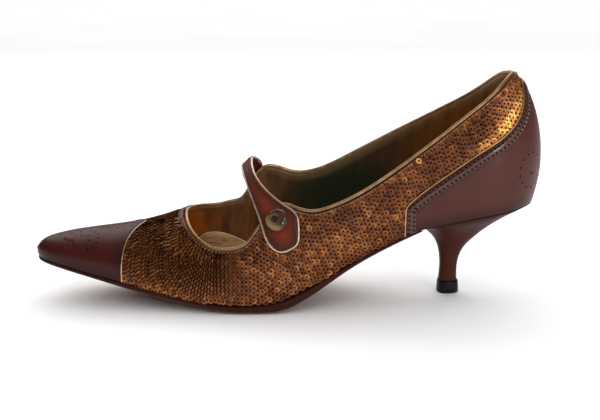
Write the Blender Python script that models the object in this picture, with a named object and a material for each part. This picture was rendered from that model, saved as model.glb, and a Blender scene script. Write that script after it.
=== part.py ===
"""High heel shoe: a pointed bar-strap pump with a kitten heel, for the left foot.

Sizes are in millimetres from the toe tip along X, lateral side on -Y, floor at Z 0.
Every leather piece is taken from one last function, grown outward or inward.
"""
import math

import bmesh
import bpy
import numpy as np
from mathutils import Matrix, Vector

MM = 0.001
SHOE = "high_heel_shoe"

# Wall and gap sizes
WALL = 1.8
GAP = 0.3
OVERLAY = 0.9
BINDING_R = 1.0
STRAP_LIFT = 0.9
STRAP_T = 1.6
STRAP_PIPING_R = 0.7

# The last: one row for each section between toe tip and heel axis
STATION_COLUMNS = ("x", "lateral", "medial", "feather", "ridge", "ridge_y", "rise", "swell")
STATIONS = (
    (0.0, 0.0, 0.0, 22.0, 22.0, 0.0, 0.0, 0.0),
    (2.0, 4.6, 4.6, 21.9, 28.2, 0.2, 3.0, 0.3),
    (6.0, 8.6, 8.6, 21.6, 30.5, 0.5, 4.0, 0.5),
    (12.0, 12.2, 12.4, 20.8, 32.0, 1.0, 5.0, 0.6),
    (20.0, 15.8, 16.4, 19.4, 33.4, 1.5, 6.0, 0.7),
    (32.0, 20.2, 21.2, 16.9, 34.8, 2.0, 7.0, 0.8),
    (48.0, 25.0, 26.4, 13.8, 36.6, 3.0, 8.0, 1.0),
    (64.0, 29.2, 31.0, 10.3, 39.8, 5.0, 9.0, 1.2),
    (78.0, 32.4, 34.0, 7.0, 44.6, 7.0, 9.5, 1.3),
    (90.0, 34.6, 35.8, 5.1, 51.0, 8.0, 10.0, 1.4),
    (102.0, 36.0, 36.3, 4.3, 58.6, 7.0, 10.0, 1.4),
    (110.0, 36.5, 36.1, 4.2, 67.0, 6.0, 10.5, 1.4),
    (118.0, 36.6, 35.2, 4.6, 74.0, 5.0, 11.0, 1.4),
    (130.0, 35.7, 33.0, 7.4, 80.0, 4.0, 12.5, 1.5),
    (146.0, 33.1, 29.0, 15.2, 89.0, 3.0, 15.0, 1.8),
    (162.0, 29.8, 25.0, 23.8, 98.0, 2.0, 17.0, 2.2),
    (180.0, 26.8, 22.8, 32.6, 108.0, 1.0, 18.5, 2.6),
    (200.0, 25.2, 23.6, 40.6, 118.0, 0.0, 20.0, 2.8),
    (214.0, 25.2, 24.8, 43.5, 124.0, 0.0, 21.0, 2.8),
    (228.0, 25.4, 25.4, 46.4, 128.0, 0.0, 22.0, 2.8),
)

# The heel end: half round about an upright axis
HEEL_AXIS_X = 228.0
HEEL_BACK_BASE = 29.2
HEEL_BACK_SWELL = 3.5
HEEL_BACK_FEATHER = 51.5
HEEL_BACK_RISE = 21.5
HEEL_BACK_RIDGE = 126.0
HEEL_ROUND = 2.15

# The toe tip stands back at the feather line and swells forward above it
TOE_SET = 2.4
TOE_TUCK = 1.4
TOE_REACH = 10.0
TOE_RAMP = 4.5
FAN_PER_DEGREE = 0.5

# Topline: throat front, lowest point, then height by station on either side
THROAT_X = 76.4
THROAT_LOW_X = 99.6
THROAT_POWER_LATERAL = 0.86
THROAT_POWER_MEDIAL = 1.3
TOPLINE_COLUMNS = ("station", "height")
TOPLINE_LATERAL = (
    (99.6, 31.0), (106.0, 32.0), (112.0, 36.0), (118.0, 44.6), (123.0, 51.5), (127.5, 53.8),
    (134.0, 51.4), (142.0, 49.8), (151.0, 51.6), (165.0, 57.4), (185.0, 69.8), (207.0, 86.0),
    (228.0, 102.0), (241.0, 110.8), (254.0, 114.8), (273.0, 115.5),
)
TOPLINE_MEDIAL = (
    (99.6, 42.4), (106.0, 43.2), (110.0, 46.8), (113.5, 57.0), (116.5, 62.6), (120.0, 64.0),
    (125.0, 62.8), (131.0, 60.0), (138.0, 58.7), (150.0, 61.2), (166.0, 69.6), (185.0, 79.6), (207.0, 90.4),
    (228.0, 101.0), (241.0, 109.0), (254.0, 114.0), (273.0, 115.5),
)

# Outsole: height of the underside by station, flat where it stands on the floor
SOLE_END_X = 197.8
SOLE_EDGE = ((0.0, None), (0.0, 1.7), (0.7, 0.9), (2.2, 0.4), (4.4, 0.0))
SOLE_COLUMNS = ("x", "underside", "margin")
SOLE_ROWS = (
    (0.0, 19.2, 1.5), (6.0, 18.7, 1.6), (15.0, 17.3, 1.7), (27.0, 15.1, 1.7), (40.0, 12.2, 1.7),
    (52.0, 9.4, 1.7), (64.0, 6.7, 1.7), (76.0, 4.4, 1.6), (88.0, 2.2, 1.6), (96.0, 0.8, 1.6),
    (102.0, 0.0, 1.6), (121.0, 0.0, 1.6), (126.0, 0.5, 1.6), (131.0, 2.0, 1.5), (137.0, 4.9, 1.4),
    (143.0, 8.4, 1.3), (149.0, 12.2, 1.2), (155.0, 16.2, 1.1), (161.0, 20.0, 1.0), (167.0, 23.4, 1.0),
    (173.0, 26.5, 1.0), (185.0, 32.2, 1.0), (198.0, 38.0, 1.0),
)

# Insole board
INSOLE_T = 1.5
INSOLE_FRONT_X = 7.0

# Toe cap seam: straight up the side, swept back over the ridge
CAP_SIDE_X = 46.9
CAP_SWEEP = 10.8
CAP_POWER = 2.6

# Heel counter: height of its upper edge by station
COUNTER_FRONT_X = 189.2
COUNTER_COLUMNS = ("station", "height")
COUNTER_EDGE = (
    (189.2, 52.4), (193.0, 55.8), (198.0, 59.9), (207.0, 66.2), (220.0, 75.2), (228.0, 80.6),
    (233.0, 84.2), (239.0, 89.2), (245.0, 95.0), (250.0, 100.8), (255.0, 107.4), (258.5, 111.0),
    (262.0, 111.9), (273.0, 112.2),
)

# Bar strap: girth angle from lateral side over the ridge, and its two edges
STRAP_COLUMNS = ("girth", "front", "rear")
STRAP_ROWS = (
    (13.0, 129.2, 133.2), (13.8, 126.8, 134.4), (16.0, 124.0, 134.9), (19.5, 121.7, 135.0),
    (24.0, 119.9, 134.8), (28.0, 119.0, 133.5), (32.0, 118.1, 130.4), (37.0, 116.8, 126.2),
    (43.0, 115.3, 122.0), (50.0, 113.8, 118.3), (58.0, 112.2, 115.6), (67.0, 110.8, 113.9),
    (78.0, 109.7, 113.1), (90.0, 109.2, 113.1), (102.0, 109.0, 113.7), (113.0, 109.0, 115.4),
    (122.0, 109.2, 117.4), (129.0, 110.2, 118.0), (134.0, 111.8, 117.2), (138.0, 113.9, 115.3),
)

# Button on the strap tab
BUTTON_X = 125.6
BUTTON_GIRTH = 28.2
BUTTON_PROFILE = (
    (0.0, 0.0), (4.4, 0.0), (5.2, 0.9), (5.6, 2.0), (5.4, 3.1), (4.7, 4.0), (3.8, 4.3),
    (2.9, 4.0), (2.2, 3.2), (1.2, 2.7), (0.0, 2.6),
)
BUTTON_SIDES = 24
STRAP_STEPS = 36

# Heel: one row for each level from the seat down to the top piece
HEEL_COLUMNS = ("front", "axis", "back", "half", "z_front", "z_back", "square")
HEEL_ROWS = (
    (200.0, 228.0, 254.6, 24.2, 37.8, 49.0, 4.0),
    (202.0, 227.0, 249.0, 20.8, 35.6, 46.0, 3.4),
    (204.4, 225.0, 242.6, 16.8, 33.4, 41.8, 3.0),
    (206.8, 222.0, 235.8, 13.0, 31.0, 36.8, 2.7),
    (208.8, 218.8, 229.4, 9.8, 28.0, 31.0, 2.5),
    (210.4, 216.8, 223.9, 7.1, 24.2, 25.8, 2.4),
    (211.3, 216.0, 220.9, 5.4, 19.0, 19.4, 2.4),
    (211.5, 215.9, 220.3, 4.8, 13.0, 13.0, 2.4),
    (210.9, 215.7, 220.5, 5.0, 6.7, 6.7, 2.6),
)
HEEL_SEAT_MARGIN = 1.1
HEEL_LIP = 0.4
HEEL_FRONT_X = 198.4
TIP_FRONT = 210.2
TIP_AXIS = 215.6
TIP_BACK = 221.7
TIP_HALF = 5.7
TIP_H = 6.4

# Mesh counts
ROWS = 9
VAMP_COLUMNS = 16
THROAT_COLUMNS = 7
FAN_COLUMNS = 14
RIB_POINTS = 40
TUBE_SIDES = 6

COLOURS = {
    "upper": (0.13, 0.055, 0.024),
    "toe_cap": (0.045, 0.014, 0.012),
    "heel_counter": (0.065, 0.026, 0.021),
    "strap": (0.075, 0.022, 0.012),
    "strap_piping": (0.34, 0.18, 0.07),
    "collar_binding": (0.22, 0.11, 0.04),
    "button": (0.09, 0.042, 0.02),
    "outsole": (0.035, 0.011, 0.008),
    "insole": (0.22, 0.12, 0.06),
    "heel": (0.045, 0.018, 0.012),
    "heel_tip": (0.008, 0.007, 0.008),
}
ROUGHNESS = {"toe_cap": 0.25, "heel_counter": 0.3, "heel": 0.3, "button": 0.2, "strap": 0.35}


def monotone(xs, ys, at):
    """Smooth curve through a table's points that never swings past them."""
    xs = np.asarray(xs, float)
    ys = np.asarray(ys, float)
    step = np.diff(xs)
    rate = np.diff(ys) / step
    slope = np.zeros(len(xs))
    slope[0] = rate[0]
    slope[-1] = rate[-1]
    for i in range(1, len(xs) - 1):
        if rate[i - 1] * rate[i] > 0:
            w_a = 2 * step[i] + step[i - 1]
            w_b = step[i] + 2 * step[i - 1]
            slope[i] = (w_a + w_b) / (w_a / rate[i - 1] + w_b / rate[i])
    at = np.clip(np.asarray(at, float), xs[0], xs[-1])
    k = np.clip(np.searchsorted(xs, at, side="right") - 1, 0, len(xs) - 2)
    t = (at - xs[k]) / step[k]
    a = (1 + 2 * t) * (1 - t) ** 2 * ys[k] + t * (1 - t) ** 2 * step[k] * slope[k]
    b = t * t * (3 - 2 * t) * ys[k + 1] + t * t * (t - 1) * step[k] * slope[k + 1]
    return a + b


def column(rows, index):
    """One column of a table."""
    return [row[index] for row in rows]


ROOT_X = [math.sqrt(row[0]) for row in STATIONS]


def size(name, x):
    """Value of one last column at x, smooth against the root of x so that the tip is round."""
    index = STATION_COLUMNS.index(name)
    return float(monotone(ROOT_X, column(STATIONS, index), math.sqrt(max(x, 0.0))))


def lean(name, x):
    """Unit normal (along X, outward) of a column drawn against x."""
    root = math.sqrt(max(x, 0.0))
    step = 0.02
    lo = max(root - step, 0.0)
    hi = root + step
    run = hi * hi - lo * lo
    climb = size(name, hi * hi) - size(name, lo * lo)
    if x <= 0.0:
        return (-1.0, 0.0)
    length = math.hypot(run, climb)
    return (-climb / length, run / length)


def tip_x(x, up):
    """Place along the shoe of a section point: the toe tip tucks under near the sole."""
    ramp = min(max(up / TOE_RAMP, 0.0), 1.0)
    return x + (TOE_SET - TOE_TUCK * ramp * (2 - ramp)) * math.exp(-x / TOE_REACH)


def rib(x, side, grow):
    """Section of the last at x: points from the feather line to the ridge on one side."""
    width = size("lateral" if side < 0 else "medial", x)
    plan_x, plan_y = lean("lateral" if side < 0 else "medial", x)
    top_x, top_z = lean("ridge", x)
    base = width + grow * plan_y
    bulge = width + size("swell", x) + grow * plan_y
    feather = size("feather", x)
    waist = feather + size("rise", x)
    ridge = size("ridge", x) + grow * top_z
    centre = side * size("ridge_y", x)
    points = []
    for u in np.linspace(0.0, 1.0, RIB_POINTS // 4, endpoint=False):
        y = base + (bulge - base) * (1 - (1 - u) ** 2)
        points.append((y, feather + (waist - feather) * u))
    for angle in np.linspace(0.0, math.pi / 2, RIB_POINTS):
        y = centre + (bulge - centre) * math.cos(angle)
        points.append((y, waist + (ridge - waist) * math.sin(angle)))
    tall = max(ridge - feather, 1e-6)
    out = []
    for y, z in points:
        share = min(max((z - feather) / tall, 0.0), 1.0)
        shift = grow * (plan_x + (top_x - plan_x) * share)
        out.append(Vector((tip_x(x, z - feather) + shift, side * y, z)))
    return out


def fan_rib(turn, grow):
    """Section of the heel end at a turn in degrees: -90 lateral, 0 back, 90 medial."""
    along = abs(math.cos(math.radians(turn))) ** (2 / HEEL_ROUND)
    across = abs(math.sin(math.radians(turn))) ** (2 / HEEL_ROUND)
    hand = -1.0 if turn < 0 else 1.0
    back = math.cos(math.radians(turn)) ** 2
    half = size("lateral", HEEL_AXIS_X)
    swell = size("swell", HEEL_AXIS_X)
    feather = size("feather", HEEL_AXIS_X)
    feather += (HEEL_BACK_FEATHER - feather) * along
    rise = size("rise", HEEL_AXIS_X)
    rise += (HEEL_BACK_RISE - rise) * back
    ridge = size("ridge", HEEL_AXIS_X)
    ridge += (HEEL_BACK_RIDGE - ridge) * back + grow
    waist = feather + rise
    levels = []
    for u in np.linspace(0.0, 1.0, RIB_POINTS // 4, endpoint=False):
        out = 1 - (1 - u) ** 2
        levels.append((HEEL_BACK_BASE + HEEL_BACK_SWELL * out + grow, half + swell * out + grow,
                       feather + rise * u))
    for angle in np.linspace(0.0, math.pi / 2, RIB_POINTS):
        shrink = math.cos(angle)
        levels.append(((HEEL_BACK_BASE + HEEL_BACK_SWELL + grow) * shrink,
                       (half + swell + grow) * shrink, waist + (ridge - waist) * math.sin(angle)))
    return [Vector((HEEL_AXIS_X + a * along, hand * b * across, z)) for a, b, z in levels]


def skin(x, girth, grow):
    """Point of the last at x and a girth angle: 0 lateral, 90 ridge, 180 medial."""
    side = -1.0 if girth <= 90.0 else 1.0
    angle = girth if girth <= 90.0 else 180.0 - girth
    points = rib(x, side, grow)
    first = RIB_POINTS // 4
    place = first + angle / 90.0 * (RIB_POINTS - 1)
    low = min(int(place), len(points) - 2)
    return points[low].lerp(points[low + 1], place - low)


def station_rib(station, side, grow):
    """Section at a station: x as far as the heel axis, then a turn about it."""
    if station <= HEEL_AXIS_X:
        return rib(station, side, grow)
    turn = 90.0 - (station - HEEL_AXIS_X) / FAN_PER_DEGREE
    return fan_rib(side * max(turn, 0.0), grow)


def place_at_height(points, height):
    """Position along a section, in points, where it reaches a height."""
    for i in range(len(points) - 1):
        if points[i + 1].z >= height:
            return i + (height - points[i].z) / (points[i + 1].z - points[i].z)
    return float(len(points) - 1)


def spread(points, end, count):
    """Even points along a section from its start to a position given in points."""
    whole = int(end)
    kept = points[: whole + 1]
    if end - whole > 1e-6:
        kept = kept + [points[whole].lerp(points[whole + 1], end - whole)]
    run = [0.0]
    for a, b in zip(kept, kept[1:]):
        run.append(run[-1] + (b - a).length)
    out = []
    k = 0
    for step in range(count + 1):
        target = run[-1] * step / count
        while k < len(run) - 2 and run[k + 1] < target:
            k += 1
        share = 0.0 if run[k + 1] == run[k] else (target - run[k]) / (run[k + 1] - run[k])
        out.append(kept[k].lerp(kept[k + 1], min(share, 1.0)))
    return out


def topline_place(station, side):
    """Position along the section, in points, of the topline at a station."""
    rows = TOPLINE_LATERAL if side < 0 else TOPLINE_MEDIAL
    height = float(monotone(column(rows, 0), column(rows, 1), station))
    return place_at_height(station_rib(station, side, -WALL / 2), height)


def throat_stops(side):
    """Foot station, edge station and edge position of columns round the throat's front."""
    low = topline_place(THROAT_LOW_X, side)
    top = RIB_POINTS // 4 + RIB_POINTS - 1
    stops = []
    for k in range(THROAT_COLUMNS + 1):
        bend = math.pi / 2 * k / THROAT_COLUMNS
        foot = THROAT_X + (THROAT_LOW_X - THROAT_X) * k / THROAT_COLUMNS
        edge = THROAT_X + (THROAT_LOW_X - THROAT_X) * (1 - math.cos(bend))
        drop = math.sin(bend) ** (THROAT_POWER_LATERAL if side < 0 else THROAT_POWER_MEDIAL)
        stops.append((foot, edge, top - (top - low) * drop))
    return stops


def side_stops(side):
    """Columns along one side, from throat front to heel axis."""
    stops = throat_stops(side)
    near = np.linspace(THROAT_LOW_X, 150.0, 13)[1:]
    far = np.linspace(150.0, HEEL_AXIS_X, 10)[1:]
    for station in list(near) + list(far):
        stops.append((float(station), float(station), topline_place(float(station), side)))
    return stops


def fan_stops(side):
    """Columns from the heel axis to the back, on one side."""
    half = FAN_COLUMNS // 2
    stops = []
    for k in range(1, half + 1):
        station = HEEL_AXIS_X + 90.0 * FAN_PER_DEGREE * k / half
        stops.append((station, station, topline_place(station, side)))
    return stops


def quarter_stops():
    """Stops round the whole opening: lateral side, heel back, medial side."""
    lateral = [(*stop, -1.0) for stop in side_stops(-1.0) + fan_stops(-1.0)]
    medial = [(*stop, 1.0) for stop in side_stops(1.0) + fan_stops(1.0)[:-1]]
    return lateral + medial[::-1]


def quarter_column(stop, grow):
    """Points of one column of the quarters, from the feather line to the topline."""
    foot, edge, place, side = stop
    points = []
    for j in range(ROWS + 1):
        station = foot + (edge - foot) * j / ROWS
        points.append(spread(station_rib(station, side, grow), place, ROWS)[j])
    return points


def vamp_x(k):
    """Section places from toe tip to throat, close together at the tip."""
    return THROAT_X * (k / VAMP_COLUMNS) ** 1.55


def arch(x, grow, count):
    """Whole section across the vamp, lateral feather to medial feather."""
    left = spread(rib(x, -1.0, grow), RIB_POINTS // 4 + RIB_POINTS - 1, count)
    right = spread(rib(x, 1.0, grow), RIB_POINTS // 4 + RIB_POINTS - 1, count)
    return left + right[:-1][::-1]


def plan(x, side, grow):
    """Feather outline point at x, set out square to the outline."""
    name = "lateral" if side < 0 else "medial"
    nx, ny = lean(name, x)
    return Vector((tip_x(x, 0.0) + grow * nx, side * (size(name, x) + grow * ny), size("feather", x)))


def fan_plan(station, side, grow):
    """Feather outline point round the heel end."""
    turn = 90.0 - (station - HEEL_AXIS_X) / FAN_PER_DEGREE
    return fan_rib(side * max(turn, 0.0), grow)[0]


def new_object(name, verts, faces, home):
    """Mesh object in metres with outward faces and a material of its own."""
    mesh = bpy.data.meshes.new(name)
    work = bmesh.new()
    made = [work.verts.new(Vector(v) * MM) for v in verts]
    for face in faces:
        loop = []
        for i in face:
            if made[i] not in loop:
                loop.append(made[i])
        if len(loop) > 2:
            work.faces.new(loop)
    bmesh.ops.recalc_face_normals(work, faces=work.faces)
    work.to_mesh(mesh)
    work.free()
    return dress(name, mesh, home)


def dress(name, mesh, home):
    """Object with smooth faces and a Principled material."""
    for face in mesh.polygons:
        face.use_smooth = True
    material = bpy.data.materials.new(name)
    material.use_nodes = True
    shader = material.node_tree.nodes["Principled BSDF"]
    shader.inputs["Base Color"].default_value = (*COLOURS[name], 1.0)
    shader.inputs["Roughness"].default_value = ROUGHNESS.get(name, 0.5)
    mesh.materials.append(material)
    made = bpy.data.objects.new(name, mesh)
    home.objects.link(made)
    return made


def shell(name, sheets, home):
    """Closed solid between two like sheets; each sheet is a list of grids of points.

    Points at one place are one vertex, and open borders are closed from sheet to sheet.
    """
    verts = []
    faces = []
    index_of = {}

    def vertex(layer, point):
        key = (layer, round(point.x, 4), round(point.y, 4), round(point.z, 4))
        if key not in index_of:
            index_of[key] = len(verts)
            verts.append(point)
        return index_of[key]

    twin = {}
    cells = []
    for layer, grids in enumerate(sheets):
        for g, grid in enumerate(grids):
            ids = [[vertex(layer, p) for p in line] for line in grid]
            for i in range(len(ids) - 1):
                for j in range(len(ids[i]) - 1):
                    cell = (ids[i][j], ids[i][j + 1], ids[i + 1][j + 1], ids[i + 1][j])
                    cells.append((layer, cell))
            for i, line in enumerate(ids):
                for j, one in enumerate(line):
                    twin.setdefault((g, i, j), []).append(one)
    partner = {pair[0]: pair[1] for pair in twin.values()}
    use = {}
    for layer, cell in cells:
        faces.append(cell)
        if layer == 0:
            for a, b in zip(cell, cell[1:] + cell[:1]):
                if a != b:
                    use.setdefault(frozenset((a, b)), []).append((a, b))
    for edges in use.values():
        if len(edges) == 1:
            a, b = edges[0]
            faces.append((a, b, partner[b], partner[a]))
    return new_object(name, verts, faces, home)


def upper_grids(grow):
    """Grids of the upper at one offset: the vamp, then the quarters round the opening."""
    vamp = [arch(vamp_x(k), grow, ROWS) for k in range(VAMP_COLUMNS + 1)]
    vamp[0] = [vamp[0][0]] * len(vamp[0])
    quarters = [quarter_column(stop, grow) for stop in quarter_stops()]
    return [vamp, quarters]


def cap_grid(grow):
    """Grid of the toe cap at one offset: the vamp's own sections, then on to the swept seam."""
    count = 2 * ROWS
    shared = [vamp_x(k) for k in range(VAMP_COLUMNS) if vamp_x(k) < CAP_SIDE_X - 4.0]
    grid = []
    for k in range(len(shared) + 3):
        line = []
        for j in range(count + 1):
            up = 1 - abs(j - ROWS) / ROWS
            seam = CAP_SIDE_X + CAP_SWEEP * up ** CAP_POWER
            past = max(k - len(shared) + 1, 0) / 3
            x = shared[min(k, len(shared) - 1)]
            side = -1.0 if j <= ROWS else 1.0
            points = rib(x + (seam - x) * past, side, grow)
            line.append(spread(points, len(points) - 1, ROWS)[j if j <= ROWS else count - j])
        grid.append(line)
    grid[0] = [grid[0][0]] * len(grid[0])
    return [grid]


def counter_grid(grow):
    """Grid of the heel counter with its back stay, lateral front round to medial front."""
    stations = list(np.linspace(COUNTER_FRONT_X, HEEL_AXIS_X, 8))
    half = FAN_COLUMNS // 2 + 2
    stations += [HEEL_AXIS_X + 90.0 * FAN_PER_DEGREE * k / half for k in range(1, half + 1)]
    stops = [(s, -1.0) for s in stations] + [(s, 1.0) for s in stations[:-1][::-1]]
    grid = []
    for station, side in stops:
        height = float(monotone(column(COUNTER_EDGE, 0), column(COUNTER_EDGE, 1), station))
        place = place_at_height(station_rib(station, side, 0.0), height)
        grid.append(spread(station_rib(station, side, grow), place, 8))
    return [grid]


def strap_rows(steps):
    """Strap rows filled in evenly between the table's rows."""
    order = list(range(len(STRAP_ROWS)))
    at = np.linspace(0, len(STRAP_ROWS) - 1, steps)
    return list(zip(*(monotone(order, column(STRAP_ROWS, c), at) for c in range(3))))


def strap_grid(grow):
    """Grid of the bar strap at one offset from the last."""
    grid = []
    for girth, front, rear in strap_rows(STRAP_STEPS):
        grid.append([skin(front + (rear - front) * j / 5, girth, grow) for j in range(6)])
    return [grid]


def tube(name, path, radius, home):
    """Round cord along a closed path."""
    curve = bpy.data.curves.new(name, "CURVE")
    curve.dimensions = "3D"
    curve.bevel_depth = radius * MM
    curve.bevel_resolution = max((TUBE_SIDES - 4) // 2, 0)
    spline = curve.splines.new("POLY")
    spline.points.add(len(path) - 1)
    for knot, point in zip(spline.points, path):
        knot.co = (point.x * MM, point.y * MM, point.z * MM, 1.0)
    spline.use_cyclic_u = True
    cord = bpy.data.objects.new(name + "_path", curve)
    mesh = bpy.data.meshes.new_from_object(cord)
    mesh.name = name
    bpy.data.objects.remove(cord)
    mesh.materials.clear()
    return dress(name, mesh, home)


def collar_path():
    """Line of the binding: the topline set on past the wall's edge, in the wall's own surface."""
    edge = []
    raised = []
    for stop in quarter_stops()[:-1]:
        edge.append(quarter_column(stop, -WALL / 2)[-1])
        raised.append(quarter_column(stop, 0.5)[-1])
    path = []
    for i, point in enumerate(edge):
        ahead = (edge[(i + 1) % len(edge)] - edge[i - 1]).normalized()
        normal = (raised[i] - point).normalized()
        path.append(point + normal.cross(ahead).normalized() * (GAP + BINDING_R + 0.1))
    return path


def strap_border(out):
    """Closed line round the strap, a distance outside its edge in its own surface."""
    middle = STRAP_LIFT + STRAP_T / 2
    rows = strap_rows(STRAP_STEPS)
    ring = [(rear, girth) for girth, front, rear in rows]
    ring += [(front, girth) for girth, front, rear in rows[::-1]]
    points = [skin(x, girth, middle) for x, girth in ring]
    lifted = [skin(x, girth, middle + 0.5) for x, girth in ring]
    path = []
    for i, point in enumerate(points):
        ahead = (points[(i + 1) % len(points)] - points[i - 1]).normalized()
        normal = (lifted[i] - point).normalized()
        path.append(point + ahead.cross(normal).normalized() * out)
    return path


def stack(name, rings, home):
    """Solid between rings of points, its ends closed by strips from side to side."""
    verts = []
    faces = []
    count = len(rings[0])
    for ring in rings:
        verts.extend(ring)
    for r in range(len(rings) - 1):
        for i in range(count):
            a = r * count + i
            b = r * count + (i + 1) % count
            faces.append((a, b, b + count, a + count))
    for r in (0, len(rings) - 1):
        low = r * count
        i, j = 0, count - 1
        while i + 1 < j - 1 or i + 1 == j - 1:
            if i + 1 == j - 1:
                faces.append((low + i, low + i + 1, low + j))
            else:
                faces.append((low + i, low + i + 1, low + j - 1, low + j))
            i += 1
            j -= 1
    return new_object(name, verts, faces, home)


def sole_stations():
    """Places along the outsole, close together at the tip and at the flat."""
    tip = [0.0, 0.5, 1.6, 3.4, 6.0, 10.0]
    body = [16, 24, 33, 43, 53, 64, 76, 86, 94, 102, 108, 115, 121, 126, 131, 137, 143, 149]
    rest = [156, 164, 173, 182, 190]
    return tip + [float(x) for x in body + rest] + [SOLE_END_X]


def build_outsole(home):
    """Outsole with toe spring, flat tread, arch and a rounded lower edge."""
    stations = sole_stations()
    rings = []
    for inset, up in SOLE_EDGE:
        ring = {}
        for side in (-1.0, 1.0):
            line = []
            for x in stations:
                margin = float(monotone(column(SOLE_ROWS, 0), column(SOLE_ROWS, 2), x))
                under = float(monotone(column(SOLE_ROWS, 0), column(SOLE_ROWS, 1), x))
                top = size("feather", x) - GAP
                point = plan(x, side, margin - inset)
                point.x = min(point.x, SOLE_END_X)
                if x == SOLE_END_X:
                    point.x = SOLE_END_X
                point.z = top if up is None else under + up
                line.append(point)
            ring[side] = line
        rings.append(ring[-1.0][1:] + ring[1.0][1:][::-1] + [ring[1.0][0]])
    turned = [[ring[-1]] + ring[:-1] for ring in rings]
    return stack_tip("outsole", turned, home)


def stack_tip(name, rings, home):
    """Solid between rings that start at a tip point, ends closed from side to side."""
    count = len(rings[0])
    verts = [p for ring in rings for p in ring]
    faces = []
    for r in range(len(rings) - 1):
        for i in range(count):
            a = r * count + i
            b = r * count + (i + 1) % count
            faces.append((a, b, b + count, a + count))
    for r in (0, len(rings) - 1):
        low = r * count
        faces.append((low, low + 1, low + count - 1))
        i, j = 1, count - 1
        while j - i > 1:
            if j - i == 2:
                faces.append((low + i, low + i + 1, low + j))
            else:
                faces.append((low + i, low + i + 1, low + j - 1, low + j))
            i += 1
            j -= 1
    return new_object(name, verts, faces, home)


def build_insole(home):
    """Insole board inside the wall, from the toe box to the heel back."""
    inset = -(WALL + GAP + 0.15)
    stations = list(np.linspace(INSOLE_FRONT_X, HEEL_AXIS_X, 30))
    fan = [HEEL_AXIS_X + 90.0 * FAN_PER_DEGREE * k / 7 for k in range(1, 8)]
    rings = []
    for lift in (GAP, GAP + INSOLE_T):
        lateral = [plan(x, -1.0, inset) for x in stations]
        lateral += [fan_plan(s, -1.0, inset) for s in fan]
        medial = [plan(x, 1.0, inset) for x in stations]
        medial += [fan_plan(s, 1.0, inset) for s in fan[:-1]]
        ring = lateral + medial[::-1]
        rings.append([Vector((p.x, p.y, p.z + lift)) for p in ring])
    return stack("insole", rings, home)


def round_ring(front, axis, back, half, square, count):
    """Plan ring of a heel level: squarer ahead of its axis, round behind it."""
    ring = []
    for k in range(count):
        turn = math.pi - 2 * math.pi * (k + 0.5) / count
        c, s = math.cos(turn), math.sin(turn)
        power = 2 / square if c < 0 else 2 / 2.2
        reach = axis - front if c < 0 else back - axis
        x = axis + math.copysign(abs(c) ** power, c) * reach
        y = -math.copysign(abs(s) ** power, s) * half
        ring.append((x, y))
    return ring


def build_heel(home):
    """Kitten heel from the seat under the counter down to the stem."""
    count = 30
    seat = []
    for x, y in round_ring(HEEL_FRONT_X, 228.0, 258.6, 26.7, 9.0, count):
        side = -1.0 if y < 0 else 1.0
        if x <= HEEL_AXIS_X:
            limit = size("lateral" if side < 0 else "medial", x) + HEEL_SEAT_MARGIN
            edge = side * min(abs(y) * limit / 26.7, limit)
            seat.append(Vector((x, edge, size("feather", x) - GAP)))
        else:
            turn = math.degrees(math.atan2(abs(y) / 26.7, (x - 228.0) / 30.6))
            point = fan_rib(side * turn, HEEL_SEAT_MARGIN)[0]
            seat.append(Vector((point.x, point.y, point.z - GAP)))
    lip = [Vector((p.x, p.y, p.z - HEEL_LIP)) for p in seat]
    rings = [seat, lip]
    for front, axis, back, half, z_front, z_back, square in HEEL_ROWS:
        ring = []
        for x, y in round_ring(front, axis, back, half, square, count):
            share = (x - front) / (back - front)
            ring.append(Vector((x, y, z_front + (z_back - z_front) * share)))
        rings.append(ring)
    return stack("heel", rings, home)


def build_heel_tip(home):
    """Top piece under the stem, flat on the floor."""
    rings = []
    for z, inset in ((TIP_H, 0.5), (TIP_H - 0.5, 0.2), (0.4, 0.0), (0.0, 0.35)):
        ring = round_ring(TIP_FRONT + inset, TIP_AXIS, TIP_BACK - inset, TIP_HALF - inset, 3.0, 28)
        rings.append([Vector((x, y, z)) for x, y in ring])
    return stack("heel_tip", rings, home)


def build_button(home):
    """Turned button standing square to the strap tab."""
    lift = STRAP_LIFT + STRAP_T + GAP + 0.25
    seat = skin(BUTTON_X, BUTTON_GIRTH, lift)
    up = (skin(BUTTON_X, BUTTON_GIRTH, lift + 1.0) - seat).normalized()
    along = (skin(BUTTON_X + 1.0, BUTTON_GIRTH, lift) - seat).normalized()
    up = (up - along * up.dot(along)).normalized()
    turn = Matrix((along, up.cross(along), up)).transposed()
    work = bmesh.new()
    profile = [work.verts.new((r * MM, 0.0, h * MM)) for r, h in BUTTON_PROFILE]
    edges = [work.edges.new(pair) for pair in zip(profile, profile[1:])]
    bmesh.ops.spin(work, geom=profile + edges, axis=(0, 0, 1), cent=(0, 0, 0),
                   angle=2 * math.pi, steps=BUTTON_SIDES, use_merge=True)
    bmesh.ops.remove_doubles(work, verts=work.verts, dist=1e-6)
    bmesh.ops.recalc_face_normals(work, faces=work.faces)
    bmesh.ops.transform(work, matrix=Matrix.Translation(seat * MM) @ turn.to_4x4(), verts=work.verts)
    mesh = bpy.data.meshes.new("button")
    work.to_mesh(mesh)
    work.free()
    return dress("button", mesh, home)


def centre(parts):
    """Set the footprint's middle at the origin."""
    spots = np.array([v.co for part in parts for v in part.data.vertices])
    middle = (spots.min(axis=0) + spots.max(axis=0)) / 2
    shift = Matrix.Translation((-middle[0], -middle[1], 0.0))
    for part in parts:
        part.data.transform(shift)


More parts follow.
